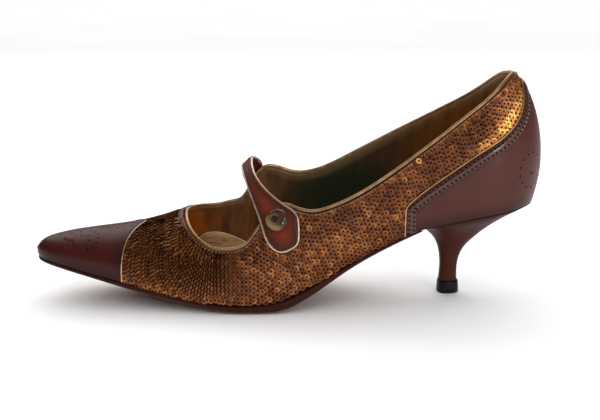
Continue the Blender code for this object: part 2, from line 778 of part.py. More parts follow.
def main():
    """Build every piece of the shoe in its own collection."""
    for old in list(bpy.data.objects):
        bpy.data.objects.remove(old)
    home = bpy.data.collections.new(SHOE)
    bpy.context.scene.collection.children.link(home)
    lift = STRAP_LIFT
    parts = [
        build_outsole(home),
        build_insole(home),
        shell("upper", (upper_grids(0.0), upper_grids(-WALL)), home),
        shell("toe_cap", (cap_grid(GAP + OVERLAY), cap_grid(GAP)), home),
        shell("heel_counter", (counter_grid(GAP + OVERLAY), counter_grid(GAP)), home),
        shell("strap", (strap_grid(lift + STRAP_T), strap_grid(lift)), home),
        tube("collar_binding", collar_path(), BINDING_R, home),
        tube("strap_piping", strap_border(GAP + STRAP_PIPING_R + 0.15), STRAP_PIPING_R, home),
        build_button(home),
        build_heel(home),
        build_heel_tip(home),
    ]
    centre(parts)


main()
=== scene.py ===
"""Looks of a pointed bar-strap pump with a kitten heel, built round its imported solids.

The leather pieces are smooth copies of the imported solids. Sequins, piping, stitches and punched
holes are set on those copies along their own edges, so each follows the shoe's shape.
Lengths are in metres; MM turns millimetres into metres. Angles in fields are in degrees.
"""
from __future__ import annotations

import logging
import math
import random
from collections.abc import Sequence
from dataclasses import dataclass
from enum import Enum

import bmesh
import bpy
import numpy as np
from mathutils import Matrix, Vector, noise
from mathutils.bvhtree import BVHTree
from mathutils.kdtree import KDTree

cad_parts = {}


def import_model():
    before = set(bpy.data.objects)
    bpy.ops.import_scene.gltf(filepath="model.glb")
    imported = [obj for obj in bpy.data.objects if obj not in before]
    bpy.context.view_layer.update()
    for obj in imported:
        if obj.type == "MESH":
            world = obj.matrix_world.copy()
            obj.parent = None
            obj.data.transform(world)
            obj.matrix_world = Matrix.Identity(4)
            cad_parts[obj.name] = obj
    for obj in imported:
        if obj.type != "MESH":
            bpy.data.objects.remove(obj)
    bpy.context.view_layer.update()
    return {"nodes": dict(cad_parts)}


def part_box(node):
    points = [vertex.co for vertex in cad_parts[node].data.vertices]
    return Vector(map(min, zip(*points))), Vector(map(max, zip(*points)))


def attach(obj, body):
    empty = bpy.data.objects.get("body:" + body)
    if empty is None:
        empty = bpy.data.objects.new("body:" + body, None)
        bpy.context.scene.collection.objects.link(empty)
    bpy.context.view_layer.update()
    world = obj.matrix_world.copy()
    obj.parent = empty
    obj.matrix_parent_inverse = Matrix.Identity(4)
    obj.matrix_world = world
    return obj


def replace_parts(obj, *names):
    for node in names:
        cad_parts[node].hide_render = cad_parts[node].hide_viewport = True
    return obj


LOG = logging.getLogger("shoe")
MM = 0.001
WELD = 0.002 * MM
PAIR_BEND = math.radians(35.0)
PAIR_SKEW = math.radians(70.0)
SEED = 7
UP = Vector((0.0, 0.0, 1.0))
ALONG = Vector((1.0, 0.0, 0.0))
ACROSS = Vector((0.0, 1.0, 0.0))
MIX_FIRST, MIX_SECOND, MIX_RESULT = 6, 7, 2

Colour = tuple[float, float, float, float]
Triple = tuple[float, float, float]
Pair = tuple[float, float]
Socket = bpy.types.NodeSocket
Material = bpy.types.Material
Mesh = bpy.types.Mesh
Shape = bmesh.types.BMesh
Nodes = dict[str, bpy.types.Object]
Inputs = dict[str | int, object]
Section = tuple[np.ndarray, np.ndarray, np.ndarray]


class Side(Enum):
    """The two sides of the shoe, as signs on Y."""

    LATERAL = -1.0
    MEDIAL = 1.0


def srgb(*display: int) -> Colour:
    """Linear colour from display values.

    Args:
        *display: Red, green and blue from 0 to 255.

    Returns:
        The colour with full alpha.
    """
    shares = [value / 255.0 for value in display]
    linear = [share / 12.92 if share <= 0.04045 else ((share + 0.055) / 1.055) ** 2.4 for share in shares]
    return (*linear, 1.0)


def clamp(value: float, low: float = 0.0, high: float = 1.0) -> float:
    """The value, kept between two limits."""
    return min(max(value, low), high)


def ease(value: float, start: float, end: float) -> float:
    """Smooth share of the way from start to end."""
    share = clamp((value - start) / (end - start))
    return share * share * (3.0 - 2.0 * share)


class Graph:
    """A material's node tree, with short calls for the nodes that the finishes share."""

    def __init__(self, name: str) -> None:
        """Start a material with a Principled shader.

        Args:
            name: Name of the material.
        """
        self.material = bpy.data.materials.new(name)
        self.material.use_nodes = True
        self.tree = self.material.node_tree
        self.place = self.tree.nodes.new("ShaderNodeTexCoord").outputs["Object"]

    def feed(self, node: bpy.types.Node, inputs: Inputs) -> None:
        """Set or link a node's inputs.

        Args:
            node: The node.
            inputs: Value or source of each input, by name or number.
        """
        for key, value in inputs.items():
            if isinstance(value, Socket):
                self.tree.links.new(value, node.inputs[key])
            else:
                node.inputs[key].default_value = value

    def out(self, kind: str, output: str | int, inputs: Inputs, **settings: object) -> Socket:
        """Output of a new node.

        Args:
            kind: Node type, without its prefix.
            output: Name or number of the output.
            inputs: Value or source of each input, by name or number.
            **settings: Properties of the node.

        Returns:
            The output.
        """
        node = self.tree.nodes.new("ShaderNode" + kind)
        for name, value in settings.items():
            setattr(node, name, value)
        self.feed(node, inputs)
        return node.outputs[output]

    def noise(self, scale: float, detail: float, stretch: Triple = (1.0, 1.0, 1.0)) -> Socket:
        """Cloudy pattern from 0 to 1: clouds in a metre, octaves and a scale on each axis."""
        place = self.out("Mapping", "Vector", {"Scale": stretch, "Vector": self.place})
        return self.out("TexNoise", "Fac", {"Scale": scale, "Detail": detail, "Vector": place})

    def cells(self, scale: float) -> Socket:
        """Distance to the middle of the nearest of so many cells in a metre."""
        return self.out("TexVoronoi", "Distance", {"Scale": scale, "Vector": self.place}, feature="F1")

    def axis(self, name: str) -> Socket:
        """One object coordinate: X, Y or Z."""
        return self.out("SeparateXYZ", name, {"Vector": self.place})

    def attribute(self, name: str) -> Socket:
        """Value of a mesh attribute."""
        return self.out("Attribute", "Fac", {}, attribute_name=name)

    def ramp(self, factor: Socket, *stops: tuple[float, Colour]) -> Socket:
        """Colours laid out along a factor.

        Args:
            factor: Value from 0 to 1.
            *stops: Place and colour of each stop.

        Returns:
            The colour.
        """
        tone = self.out("ValToRGB", "Color", {"Fac": factor})
        band = tone.node.color_ramp
        while len(band.elements) < len(stops):
            band.elements.new(1.0)
        for element, (at, colour) in zip(band.elements, stops):
            element.position = at
            element.color = colour
        return tone

    def level(self, factor: Socket, low: float, high: float, start: float = 0.0, end: float = 1.0) -> Socket:
        """A factor brought from the range start to end to the range low to high."""
        ends = {"From Min": start, "From Max": end, "To Min": low, "To Max": high}
        return self.out("MapRange", "Result", {"Value": factor, **ends})

    def mixed(self, factor: Socket, first: Socket | Colour, second: Socket | Colour) -> Socket:
        """Two colours mixed by the second one's share."""
        inputs = {"Factor": factor, MIX_FIRST: first, MIX_SECOND: second}
        return self.out("Mix", MIX_RESULT, inputs, data_type="RGBA")

    def bump(self, height: Socket, depth: float, under: Socket | None = None) -> Socket:
        """Normal with a relief of a depth in metres, on another normal if one is given."""
        base = {} if under is None else {"Normal": under}
        return self.out("Bump", "Normal", {"Distance": depth, "Height": height, **base})

    def dress(self, **inputs: object) -> Material:
        """Set or link the shader's inputs.

        Args:
            **inputs: Value or source of each input, with underscores for spaces.

        Returns:
            The material.
        """
        named = {name.replace("_", " "): value for name, value in inputs.items()}
        self.feed(self.tree.nodes["Principled BSDF"], named)
        return self.material


@dataclass(frozen=True)
class Leather:
    """Polished, burnished calf: darker at its edges, with a fine grain and a coat of wax."""

    name: str
    middle: Colour
    rim: Colour
    glow: Colour
    roughness: float = 0.42
    wear: Pair = (-0.07, 0.1)
    wear_scale: float = 60.0
    coat: float = 0.12
    coat_roughness: float = 0.3
    specular: float = 0.14
    cloud_scale: float = 34.0
    cloud_range: Pair = (0.38, 0.68)
    fleck_scale: float = 1500.0
    fleck_range: Pair = (0.35, 0.75)
    fleck_share: float = 0.35
    grain: float = 850.0
    grain_depth: float = 0.05 * MM
    pull_scale: float = 120.0
    pull_stretch: Triple = (0.5, 1.0, 1.0)
    pull_depth: float = 0.12 * MM

    def material(self) -> Material:
        """Make the material.

        Returns:
            The leather's material.
        """
        graph = Graph(self.name)
        cloud = graph.level(graph.noise(self.cloud_scale, 4.0), 0.0, 1.0, *self.cloud_range)
        tone = graph.mixed(cloud, self.middle, self.glow)
        tone = graph.mixed(graph.level(graph.attribute("edge"), 1.0, 0.0), tone, self.rim)
        fleck = graph.level(graph.noise(self.fleck_scale, 2.0), 0.0, self.fleck_share, *self.fleck_range)
        grain = graph.bump(graph.cells(self.grain), self.grain_depth)
        pull = graph.noise(self.pull_scale, 3.0, self.pull_stretch)
        ends = [self.roughness + change for change in self.wear]
        return graph.dress(
            Base_Color=graph.mixed(fleck, tone, self.rim),
            Roughness=graph.level(graph.noise(self.wear_scale, 5.0), *ends),
            Normal=graph.bump(pull, self.pull_depth, grain),
            Specular_IOR_Level=self.specular,
            Coat_Weight=self.coat,
            Coat_Roughness=self.coat_roughness,
        )


@dataclass(frozen=True)
class Bronze:
    """Metallised leather or film; with a gold, its tone follows the tint attribute."""

    name: str
    dark: Colour
    middle: Colour
    bright: Colour
    metallic: float = 0.8
    roughness: float = 0.35
    wear: Pair = (-0.08, 0.12)
    cloud_scale: float = 260.0
    coat: float = 0.0
    coat_roughness: float = 0.3
    specular: float = 0.15
    gold: Colour | None = None
    relief: float = 0.03 * MM
    relief_scale: float = 1800.0
    # shaded and shade: a dark painted shade colour that the shade attribute mixes into the tone.
    shaded: Pair | None = None
    shade: Colour = srgb(20, 10, 7)

    def material(self) -> Material:
        """Make the material; where it is shaded, the shade attribute mixes in the painted shade colour and
        its sheen fades.

        Returns:
            The metallised material.
        """
        graph = Graph(self.name)
        cloud = graph.noise(self.cloud_scale, 4.0)
        if self.gold is None:
            tone = graph.ramp(cloud, (0.0, self.dark), (0.5, self.middle), (1.0, self.bright))
        else:
            stops = ((0.0, self.dark), (0.4, self.middle), (0.8, self.bright), (1.0, self.gold))
            tone = graph.ramp(graph.attribute("tint"), *stops)
        sheen = {"Metallic": self.metallic, "Coat_Weight": self.coat, "Specular_IOR_Level": self.specular}
        if self.shaded is not None:
            # Painted shade: the tone darkens towards the shade colour as the shade attribute rises, and the
            # sheen fades with it.
            share = graph.level(graph.attribute("shade"), *self.shaded)
            tone = graph.mixed(share, tone, self.shade)
            sheen = {name: graph.level(share, value, 0.0) for name, value in sheen.items()}
        ends = [self.roughness + change for change in self.wear]
        return graph.dress(
            Base_Color=tone,
            Coat_Roughness=self.coat_roughness,
            Roughness=graph.level(cloud, *ends),
            Normal=graph.bump(graph.noise(self.relief_scale, 2.0), self.relief),
            **sheen,
        )


@dataclass(frozen=True)
class Cloth:
    """Backing cloth that shows between the sequins."""

    name: str = "backing_cloth"
    thread: Colour = srgb(46, 24, 16)
    gap: Colour = srgb(22, 11, 8)
    weave_scale: float = 2200.0
    weave_depth: float = 0.1 * MM

    def material(self) -> Material:
        """Make the material.

        Returns:
            The cloth's material.
        """
        graph = Graph(self.name)
        weave = graph.cells(self.weave_scale)
        tone = graph.ramp(weave, (0.1, self.thread), (0.7, self.gap))
        relief = graph.bump(weave, self.weave_depth)
        return graph.dress(Base_Color=tone, Roughness=0.9, Specular_IOR_Level=0.1, Normal=relief)


@dataclass(frozen=True)
class Lining:
    """Metallised kid lining: gold at the throat and heel, rubbed grey between, with painted shade deep inside
    from the waist back and a dull green patch.
    """

    name: str = "worn_gold_lining"
    gold: Colour = srgb(200, 118, 34)
    brown: Colour = srgb(140, 78, 24)
    grey: Colour = srgb(140, 92, 54)
    dark: Colour = srgb(76, 50, 31)
    painted_shade_light: Colour = srgb(74, 56, 34)
    painted_shade_dark: Colour = srgb(42, 32, 20)
    green: Colour = srgb(22, 40, 22)
    rubbed: Colour = srgb(124, 100, 66)
    throat: Pair = (-48.0 * MM, -34.0 * MM)
    waist: Pair = (-20.0 * MM, 8.0 * MM)
    heel: Pair = (52.0 * MM, 92.0 * MM)
    heel_share: float = 0.4
    streak_scale: float = 120.0
    streak_stretch: Triple = (2.2, 1.0, 0.4)
    patch_at: Triple = (0.031, 0.027, 0.049)
    patch_size: Triple = (0.042, 0.03, 0.022)
    patch_share: float = 0.9
    grain: float = 700.0
    grain_depth: float = 0.06 * MM

    def material(self) -> Material:
        """Make the material.

        Returns:
            The lining's material.
        """
        graph = Graph(self.name)
        x = graph.axis("X")
        streak = graph.noise(self.streak_scale, 5.0, self.streak_stretch)
        pairs = ((self.brown, self.gold), (self.dark, self.grey), (self.painted_shade_dark, self.painted_shade_light))
        warm, dull, shadow = [graph.ramp(streak, (0.3, low), (0.7, high)) for low, high in pairs]
        tone = graph.mixed(graph.level(x, 0.0, 1.0, *self.throat), warm, dull)
        # Painted shade deep inside the shoe, from the waist back to the heel.
        tone = graph.mixed(graph.level(x, 0.0, 1.0, *self.waist), tone, shadow)
        tone = graph.mixed(graph.level(x, 0.0, self.heel_share, *self.heel), tone, warm)
        place = {"Location": self.patch_at, "Scale": self.patch_size, "Vector": graph.place}
        patch = graph.out("Mapping", "Vector", place, vector_type="TEXTURE")
        ball = graph.out("TexGradient", "Fac", {"Vector": patch}, gradient_type="SPHERICAL")
        tone = graph.mixed(graph.level(ball, 0.0, self.patch_share, 0.05, 0.6), tone, self.green)
        fold = graph.level(graph.attribute("edge"), 0.4, 0.0, 0.55, 0.85)
        return graph.dress(
            Base_Color=graph.mixed(fold, tone, self.rubbed),
            Metallic=0.1,
            Roughness=graph.level(streak, 0.42, 0.62),
            Normal=graph.bump(graph.noise(self.grain, 3.0), self.grain_depth),
        )


@dataclass(frozen=True)
class SockLining:
    """Pale gold insole facing with a speckled rub."""

    name: str = "sock_lining"
    pale: Colour = srgb(232, 190, 146)
    tan: Colour = srgb(190, 146, 104)
    speck: Colour = srgb(100, 66, 42)
    speckled: float = 0.75
    drawn: Triple = (1.0, 1.0, 1.0)
    broad_scale: float = 55.0
    speck_scale: float = 950.0
    grain: float = 900.0
    grain_depth: float = 0.08 * MM

    def material(self) -> Material:
        """Make the material.

        Returns:
            The sock lining's material.
        """
        graph = Graph(self.name)
        broad = graph.ramp(graph.noise(self.broad_scale, 4.0), (0.35, self.tan), (0.65, self.pale))
        speckle = graph.level(graph.noise(self.speck_scale, 2.0, self.drawn), 0.0, self.speckled, 0.5, 0.66)
        tone = graph.mixed(speckle, broad, self.speck)
        relief = graph.bump(graph.noise(self.grain, 2.0), self.grain_depth)
        return graph.dress(Base_Color=tone, Metallic=0.3, Roughness=0.5, Normal=relief)


@dataclass(frozen=True)
class Horn:
    """Polished horn for the button: dark, with a khaki part, streaks and painted shade in its sunk well."""

    name: str = "horn"
    dark: Colour = srgb(34, 20, 14)
    brown: Colour = srgb(70, 46, 30)
    khaki: Colour = srgb(126, 100, 62)
    # hole: painted shade colour of the button's sunk well.
    hole: Colour = srgb(38, 26, 19)
    streak_scale: float = 260.0
    streak_stretch: Triple = (1.0, 1.0, 0.35)

    def material(self) -> Material:
        """Make the material.

        Returns:
            The horn's material.
        """
        graph = Graph(self.name)
        streak = graph.noise(self.streak_scale, 4.0, self.streak_stretch)
        tone = graph.ramp(streak, (0.35, self.dark), (0.65, self.brown))
        tone = graph.mixed(graph.attribute("tint"), tone, self.khaki)
        # Painted shade: the edge attribute darkens the sunk well's slope with the hole colour.
        tone = graph.mixed(graph.attribute("edge"), tone, self.hole)
        gloss = {"Roughness": 0.24, "Specular_IOR_Level": 0.3, "Coat_Weight": 0.4, "Coat_Roughness": 0.06}
        return graph.dress(Base_Color=tone, **gloss)


@dataclass(frozen=True)
class SoleLeather:
    """Sole leather: stained dark round its edge, scuffed underneath."""

    name: str = "sole_leather"
    stain: Colour = srgb(50, 21, 15)
    red: Colour = srgb(112, 48, 31)
    tread: Colour = srgb(120, 78, 50)
    scuff: Colour = srgb(84, 54, 36)
    scuff_scale: float = 70.0
    scuff_stretch: Triple = (0.6, 1.4, 1.0)
    wear_scale: float = 150.0
    grain: float = 900.0
    grain_stretch: Triple = (0.4, 1.0, 1.0)
    grain_depth: float = 0.08 * MM

    def material(self) -> Material:
        """Make the material.

        Returns:
            The sole's material.
        """
        graph = Graph(self.name)
        rub = graph.noise(self.scuff_scale, 6.0, self.scuff_stretch)
        worn = graph.ramp(rub, (0.35, self.scuff), (0.65, self.tread))
        edge = graph.ramp(graph.attribute("edge"), (0.0, self.stain), (0.55, self.stain), (1.0, self.red))
        return graph.dress(
            Base_Color=graph.mixed(graph.attribute("under"), edge, worn),
            Specular_IOR_Level=0.12,
            Roughness=graph.level(graph.noise(self.wear_scale, 4.0), 0.4, 0.62),
            Normal=graph.bump(graph.noise(self.grain, 4.0, self.grain_stretch), self.grain_depth),
        )


@dataclass(frozen=True)
class Plain:
    """A quiet matt or glossy finish with a little cloud in its tone: rubber, thread, punched hole."""

    name: str
    colour: Colour
    shade: Colour
    roughness: float = 0.6
    scale: float = 400.0
    grain: float = 1200.0
    grain_depth: float = 0.04 * MM

    def material(self) -> Material:
        """Make the material.

        Returns:
            The plain material.
        """
        graph = Graph(self.name)
        tone = graph.ramp(graph.noise(self.scale, 4.0), (0.35, self.shade), (0.7, self.colour))
        relief = graph.bump(graph.noise(self.grain, 2.0), self.grain_depth)
        return graph.dress(Base_Color=tone, Specular_IOR_Level=0.2, Roughness=self.roughness, Normal=relief)


@dataclass
class Stop:
    """A place on an edge: the point, the surface's normal and the way into the piece."""

    at: Vector
    normal: Vector
    inward: Vector


def points_of(stops: Sequence[Stop]) -> list[Vector]:
    """The points of a line of stops."""
    return [stop.at for stop in stops]


def new_piece(name: str, mesh: Mesh, material: Material) -> bpy.types.Object:
    """Object for a finished mesh, riding on the shoe.

    Args:
        name: Name of the piece.
        mesh: Finished mesh, in place.
        material: Its finish, unless the mesh has its own.

    Returns:
        The object.
    """
    if not mesh.materials:
        mesh.materials.append(material)
    mesh.name = name
    piece = bpy.data.objects.new(name, mesh)
    bpy.context.scene.collection.objects.link(piece)
    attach(piece, "root")
    LOG.info("%s: %d faces", name, len(mesh.polygons))
    return piece


def stand_in(name: str, mesh: Mesh, material: Material, node: str) -> None:
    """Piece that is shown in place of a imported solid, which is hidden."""
    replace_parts(new_piece(name, mesh, material), node)


def baked(name: str, work: Shape) -> Mesh:
    """Mesh of a finished shape.

    Args:
        name: Name of the mesh.
        work: The shape; it is freed.

    Returns:
        The mesh.
    """
    mesh = bpy.data.meshes.new(name)
    work.to_mesh(mesh)
    work.free()
    return mesh


def smoothed(name: str, work: Shape) -> Mesh:
    """Mesh of a finished shape, smooth and facing outwards.

    Args:
        name: Name of the mesh.
        work: The shape; it is freed.

    Returns:
        The mesh.
    """
    bmesh.ops.recalc_face_normals(work, faces=work.faces)
    for face in work.faces:
        face.smooth = True
    return baked(name, work)


def turned(profile: Sequence[Pair], sides: int) -> Shape:
    """Shape turned round Z from a line.

    Args:
        profile: Radius and height of each of the line's points.
        sides: Faces round the shape.

    Returns:
        The shape, facing outwards.
    """
    work = bmesh.new()
    line = [work.verts.new((radius, 0.0, height)) for radius, height in profile]
    edges = [work.edges.new(pair) for pair in zip(line, line[1:])]
    spin = {"axis": UP, "cent": (0.0, 0.0, 0.0), "angle": math.tau, "steps": sides, "use_merge": True}
    bmesh.ops.spin(work, geom=[*line, *edges], **spin)
    bmesh.ops.remove_doubles(work, verts=work.verts, dist=WELD)
    bmesh.ops.recalc_face_normals(work, faces=work.faces)
    return work


def merged_copy(node: bpy.types.Object) -> Shape:
    """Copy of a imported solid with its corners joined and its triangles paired.

    Args:
        node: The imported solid's object.

    Returns:
        The copy.
    """
    work = bmesh.new()
    work.from_mesh(node.data)
    bmesh.ops.remove_doubles(work, verts=work.verts, dist=WELD)
    limits = {"angle_face_threshold": PAIR_BEND, "angle_shape_threshold": PAIR_SKEW}
    bmesh.ops.join_triangles(work, faces=work.faces, **limits)
    return work


def smooth_copy(node: bpy.types.Object, levels: int = 2, crease: float = 40.0) -> Mesh:
    """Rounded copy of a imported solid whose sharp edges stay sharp.

    Args:
        node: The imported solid's object.
        levels: Subdivision steps.
        crease: Angle in degrees from which an edge is sharp.

    Returns:
        The finished mesh.
    """
    work = merged_copy(node)
    layer = work.edges.layers.float.new("crease_edge")
    for edge in work.edges:
        if len(edge.link_faces) == 2 and edge.calc_face_angle(0.0) > math.radians(crease):
            edge[layer] = 1.0
    for face in work.faces:
        face.smooth = True
    rough = baked(node.name + "_copy", work)
    spare = rough.attributes.get("custom_normal")
    if spare is not None:
        rough.attributes.remove(spare)
    rough.materials.clear()
    carrier = bpy.data.objects.new(rough.name, rough)
    bpy.context.scene.collection.objects.link(carrier)
    rounding = carrier.modifiers.new("rounding", "SUBSURF")
    rounding.levels = levels
    rounding.render_levels = levels
    seen = carrier.evaluated_get(bpy.context.evaluated_depsgraph_get())
    mesh = bpy.data.meshes.new_from_object(seen)
    bpy.data.objects.remove(carrier)
    bpy.data.meshes.remove(rough)
    return mesh


def spots_of(mesh: Mesh) -> np.ndarray:
    """The vertices' places, one a row."""
    return np.array([v.co for v in mesh.vertices])


def set_values(mesh: Mesh, name: str, values: Sequence[float]) -> None:
    """Store an attribute with one value a vertex."""
    layer = mesh.attributes.new(name, "FLOAT", "POINT")
    layer.data.foreach_set("value", values)


def search_tree(points: Sequence[Vector]) -> KDTree:
    """Tree that finds the nearest of some points.

    Args:
        points: The points.

    Returns:
        The tree.
    """
    tree = KDTree(len(points))
    for index, point in enumerate(points):
        tree.insert(point, index)
    tree.balance()
    return tree


def near_share(mesh: Mesh, line: Sequence[Vector], reach: float) -> list[float]:
    """Each vertex's distance from a line of close points, as a share of a reach, up to 1."""
    tree = search_tree(line)
    return [min(tree.find(v.co)[2] / reach, 1.0) for v in mesh.vertices]


def run_along(points: np.ndarray) -> np.ndarray:
    """Distance from a line's start at each of its points."""
    return np.concatenate([[0.0], np.cumsum(np.linalg.norm(np.diff(points, axis=0), axis=1))])


def between(at: np.ndarray | float, run: Sequence[float], rows: np.ndarray) -> np.ndarray:
    """Rows of a table, read at places between its lines."""
    return np.stack([np.interp(at, run, column) for column in rows.T], axis=-1)


class Skin:
    """Outer face of a shell piece: a surface to set trim on, and its border.

    FACING is how squarely the first face looks the seed's way, BEND the sharpest bend within the
    outer face, and FOOT the rise of the way inward from which the border is the piece's foot.
    """

    FACING: float = 0.5
    BEND: float = math.radians(38.0)
    FOOT: float = 0.55

    def __init__(self, mesh: Mesh, seed: Vector) -> None:
        """Find the outer face and its border.

        Args:
            mesh: Smooth copy of the shell.
            seed: Direction in which the outer face lies furthest out.
        """
        self.mesh = mesh
        work = bmesh.new()
        work.from_mesh(mesh)
        work.normal_update()
        self.tree = BVHTree.FromBMesh(work)
        facing = [face for face in work.faces if face.normal.dot(seed) > self.FACING]
        first = max(facing, key=lambda face: face.calc_center_median().dot(seed))
        outer = {first}
        queue = [first]
        while queue:
            for edge in queue.pop().edges:
                if edge.calc_face_angle(0.0) < self.BEND:
                    fresh = [face for face in edge.link_faces if face not in outer]
                    outer.update(fresh)
                    queue += fresh
        self.loops = self._walk(outer)
        self.stops = max(self.loops, key=len)
        work.free()

    @classmethod
    def _walk(cls, outer: set[bmesh.types.BMFace]) -> list[list[Stop]]:
        """Border of the outer face in order.

        Args:
            outer: Faces of the outer face.

        Returns:
            Stops round each border.
        """
        owner: dict[bmesh.types.BMEdge, bmesh.types.BMFace] = {}
        for face in outer:
            for edge in face.edges:
                if sum(other in outer for other in edge.link_faces) == 1:
                    owner[edge] = face
        order = sorted(owner, key=lambda edge: tuple(edge.verts[0].co + edge.verts[1].co))
        links: dict[bmesh.types.BMVert, list[bmesh.types.BMEdge]] = {}
        for edge in order:
            for vert in edge.verts:
                links.setdefault(vert, []).append(edge)
        spare = set(order)
        loops = []
        for first in order:
            if first not in spare:
                continue
            spare.discard(first)
            start, vert = sorted(first.verts, key=lambda v: tuple(v.co))
            ring = [first]
            while vert != start:
                ahead = [edge for edge in links[vert] if edge in spare]
                if not ahead:
                    break
                spare.discard(ahead[0])
                ring.append(ahead[0])
                vert = ahead[0].other_vert(vert)
            loops.append([cls._stop(edge, owner[edge]) for edge in ring])
        return loops

    @staticmethod
    def _stop(edge: bmesh.types.BMEdge, face: bmesh.types.BMFace) -> Stop:
        """Place on the border.

        Args:
            edge: Edge of the border.
            face: The outer face's part beside it.

        Returns:
            The edge's middle.
        """
        start, end = (vert.co for vert in edge.verts)
        middle = (start + end) / 2
        run = (end - start).normalized()
        inward = face.calc_center_median() - middle
        inward -= run * inward.dot(run)
        return Stop(middle, face.normal.copy(), inward.normalized())

    def seam(self) -> list[Stop]:
        """Find the border without its foot.

        Returns:
            Its stops in order from one end to the other.
        """
        kept = [stop.inward.z < self.FOOT for stop in self.stops]
        count = len(kept)
        runs = []
        for start in [i for i in range(count) if kept[i] and not kept[i - 1]]:
            run: list[Stop] = []
            while kept[(start + len(run)) % count] and len(run) < count:
                run.append(self.stops[(start + len(run)) % count])
            runs.append(run)
        return max(runs, key=len)

    def topline(self) -> list[Stop]:
        """The border that lies highest."""
        return max(self.loops, key=lambda loop: sum(stop.at.z for stop in loop) / len(loop))

    def inside(self, stop: Stop, distance: float, lift: float = 0.0) -> Stop:
        """Place on the outer face at a distance in from the border.

        Args:
            stop: Place on the border.
            distance: Distance in from it.
            lift: Height above the face.

        Returns:
            The place.
        """
        at, normal, _, _ = self.tree.find_nearest(stop.at + stop.inward * distance)
        if normal.dot(stop.normal) < 0.0:
            normal = -normal
        return Stop(at + normal * lift, normal, stop.inward)

    def row(self, stops: list[Stop], distances: Sequence[float], lift: float) -> list[Vector]:
        """Points above the outer face, each at its own distance in from the border."""
        return [self.inside(stop, distance, lift).at for stop, distance in zip(stops, distances)]


def spaced(stops: list[Stop], pitch: float, closed: bool, start: float = 0.0) -> list[Stop]:
    """Stops at an even pitch along a line of stops.

    Args:
        stops: The line.
        pitch: Distance between stops.
        closed: Whether the line runs back to its start.
        start: Distance of the first stop from the line's start.

    Returns:
        The even stops.
    """
    line = stops + stops[:1] if closed else stops
    rows = np.array([[*s.at, *s.normal, *s.inward] for s in line])
    run = run_along(rows[:, :3])
    count = max(int((run[-1] - start) / pitch), 1)
    step = (run[-1] - start) / count
    at = start + step * np.arange(count if closed else count + 1)
    even = between(at, run, rows)
    return [Stop(Vector(e[:3]), Vector(e[3:6]).normalized(), Vector(e[6:]).normalized()) for e in even]


def eased(points: Sequence[Vector], closed: bool, passes: int) -> list[Vector]:
    """A line of points with its corners relaxed.

    Args:
        points: The line.
        closed: Whether it runs back to its start.
        passes: How often each point moves towards its neighbours.

    Returns:
        The relaxed line.
    """
    line = np.array(points)
    for _ in range(passes):
        moved = line * 0.5 + (np.roll(line, 1, axis=0) + np.roll(line, -1, axis=0)) * 0.25
        if not closed:
            moved[0] = line[0]
            moved[-1] = line[-1]
        line = moved
    return [Vector(p) for p in line]


def cord_mesh(points: Sequence[Vector], radius: float, bevel: int = 2) -> Mesh:
    """Round cord along an open line.

    Args:
        points: Points of the line.
        radius: Radius of the cord.
        bevel: Roundness of the cord's section.

    Returns:
        The cord's mesh.
    """
    curve = bpy.data.curves.new("cord_line", "CURVE")
    curve.dimensions = "3D"
    curve.bevel_depth = radius
    curve.bevel_resolution = bevel
    curve.use_fill_caps = True
    spline = curve.splines.new("POLY")
    spline.points.add(len(points) - 1)
    for knot, point in zip(spline.points, points):
        knot.co = (*point, 1.0)
    carrier = bpy.data.objects.new("cord_line", curve)
    mesh = bpy.data.meshes.new_from_object(carrier)
    bpy.data.objects.remove(carrier)
    bpy.data.curves.remove(curve)
    mesh.materials.clear()
    for face in mesh.polygons:
        face.use_smooth = True
    return mesh


def ribbon_mesh(rails: Sequence[Sequence[Vector]], closed: bool, wrapped: bool) -> Mesh:
    """Skin over lines that run side by side.

    Args:
        rails: Lines with the same number of points.
        closed: Whether each line runs back to its start.
        wrapped: Whether the last line joins the first, with the ends filled.

    Returns:
        The mesh, facing outwards where it is closed.
    """
    rows = [[*rail, rail[0]] if closed else list(rail) for rail in rails]
    rows += rows[:1] if wrapped else []
    work = bmesh.new()
    bmesh.ops.create_grid(work, x_segments=len(rows[0]) - 1, y_segments=len(rows) - 1, size=1.0)
    knots = sorted(work.verts, key=lambda v: (round(v.co.y, 5), round(v.co.x, 5)))
    for knot, point in zip(knots, [point for row in rows for point in row], strict=True):
        knot.co = point
    bmesh.ops.remove_doubles(work, verts=work.verts, dist=WELD)
    if wrapped and not closed:
        bmesh.ops.holes_fill(work, edges=[edge for edge in work.edges if edge.is_boundary])
    return smoothed("ribbon", work)


def scatter(template: Mesh, places: list[Matrix], **values: list[float]) -> Mesh:
    """One mesh with a copy of a small shape at each place.

    Args:
        template: The small shape, at the origin; it is removed.
        places: Where each copy goes.
        **values: Attributes of the mesh, with one value a copy.

    Returns:
        The joined mesh.
    """
    work = bmesh.new()
    for index, place in enumerate(places):
        copy = template.copy()
        copy.transform(place)
        for name, series in values.items():
            set_values(copy, name, [series[index]] * len(copy.vertices))
        work.from_mesh(copy)
        bpy.data.meshes.remove(copy)
    mesh = baked(template.name, work)
    bpy.data.meshes.remove(template)
    return mesh


def upright(at: Vector, normal: Vector, along: Vector) -> Matrix:
    """Placement with Z along a normal and X along a direction.

    Args:
        at: Origin of the placement.
        normal: Its Z axis.
        along: Direction nearest to its X axis.

    Returns:
        The placement.
    """
    x_axis = (along - normal * along.dot(normal)).normalized()
    turn = Matrix((x_axis, normal.cross(x_axis), normal)).transposed()
    return Matrix.Translation(at) @ turn.to_4x4()


def stitch_shape(length: float, radius: float) -> Mesh:
    """One sewn stitch: a short thread lying along X.

    Args:
        length: Length that shows.
        radius: Radius of the thread.

    Returns:
        The stitch.
    """
    work = bmesh.new()
    bmesh.ops.create_uvsphere(work, u_segments=6, v_segments=4, radius=1.0)
    bmesh.ops.scale(work, vec=(length / 2, radius, radius), verts=work.verts)
    return smoothed("stitch", work)


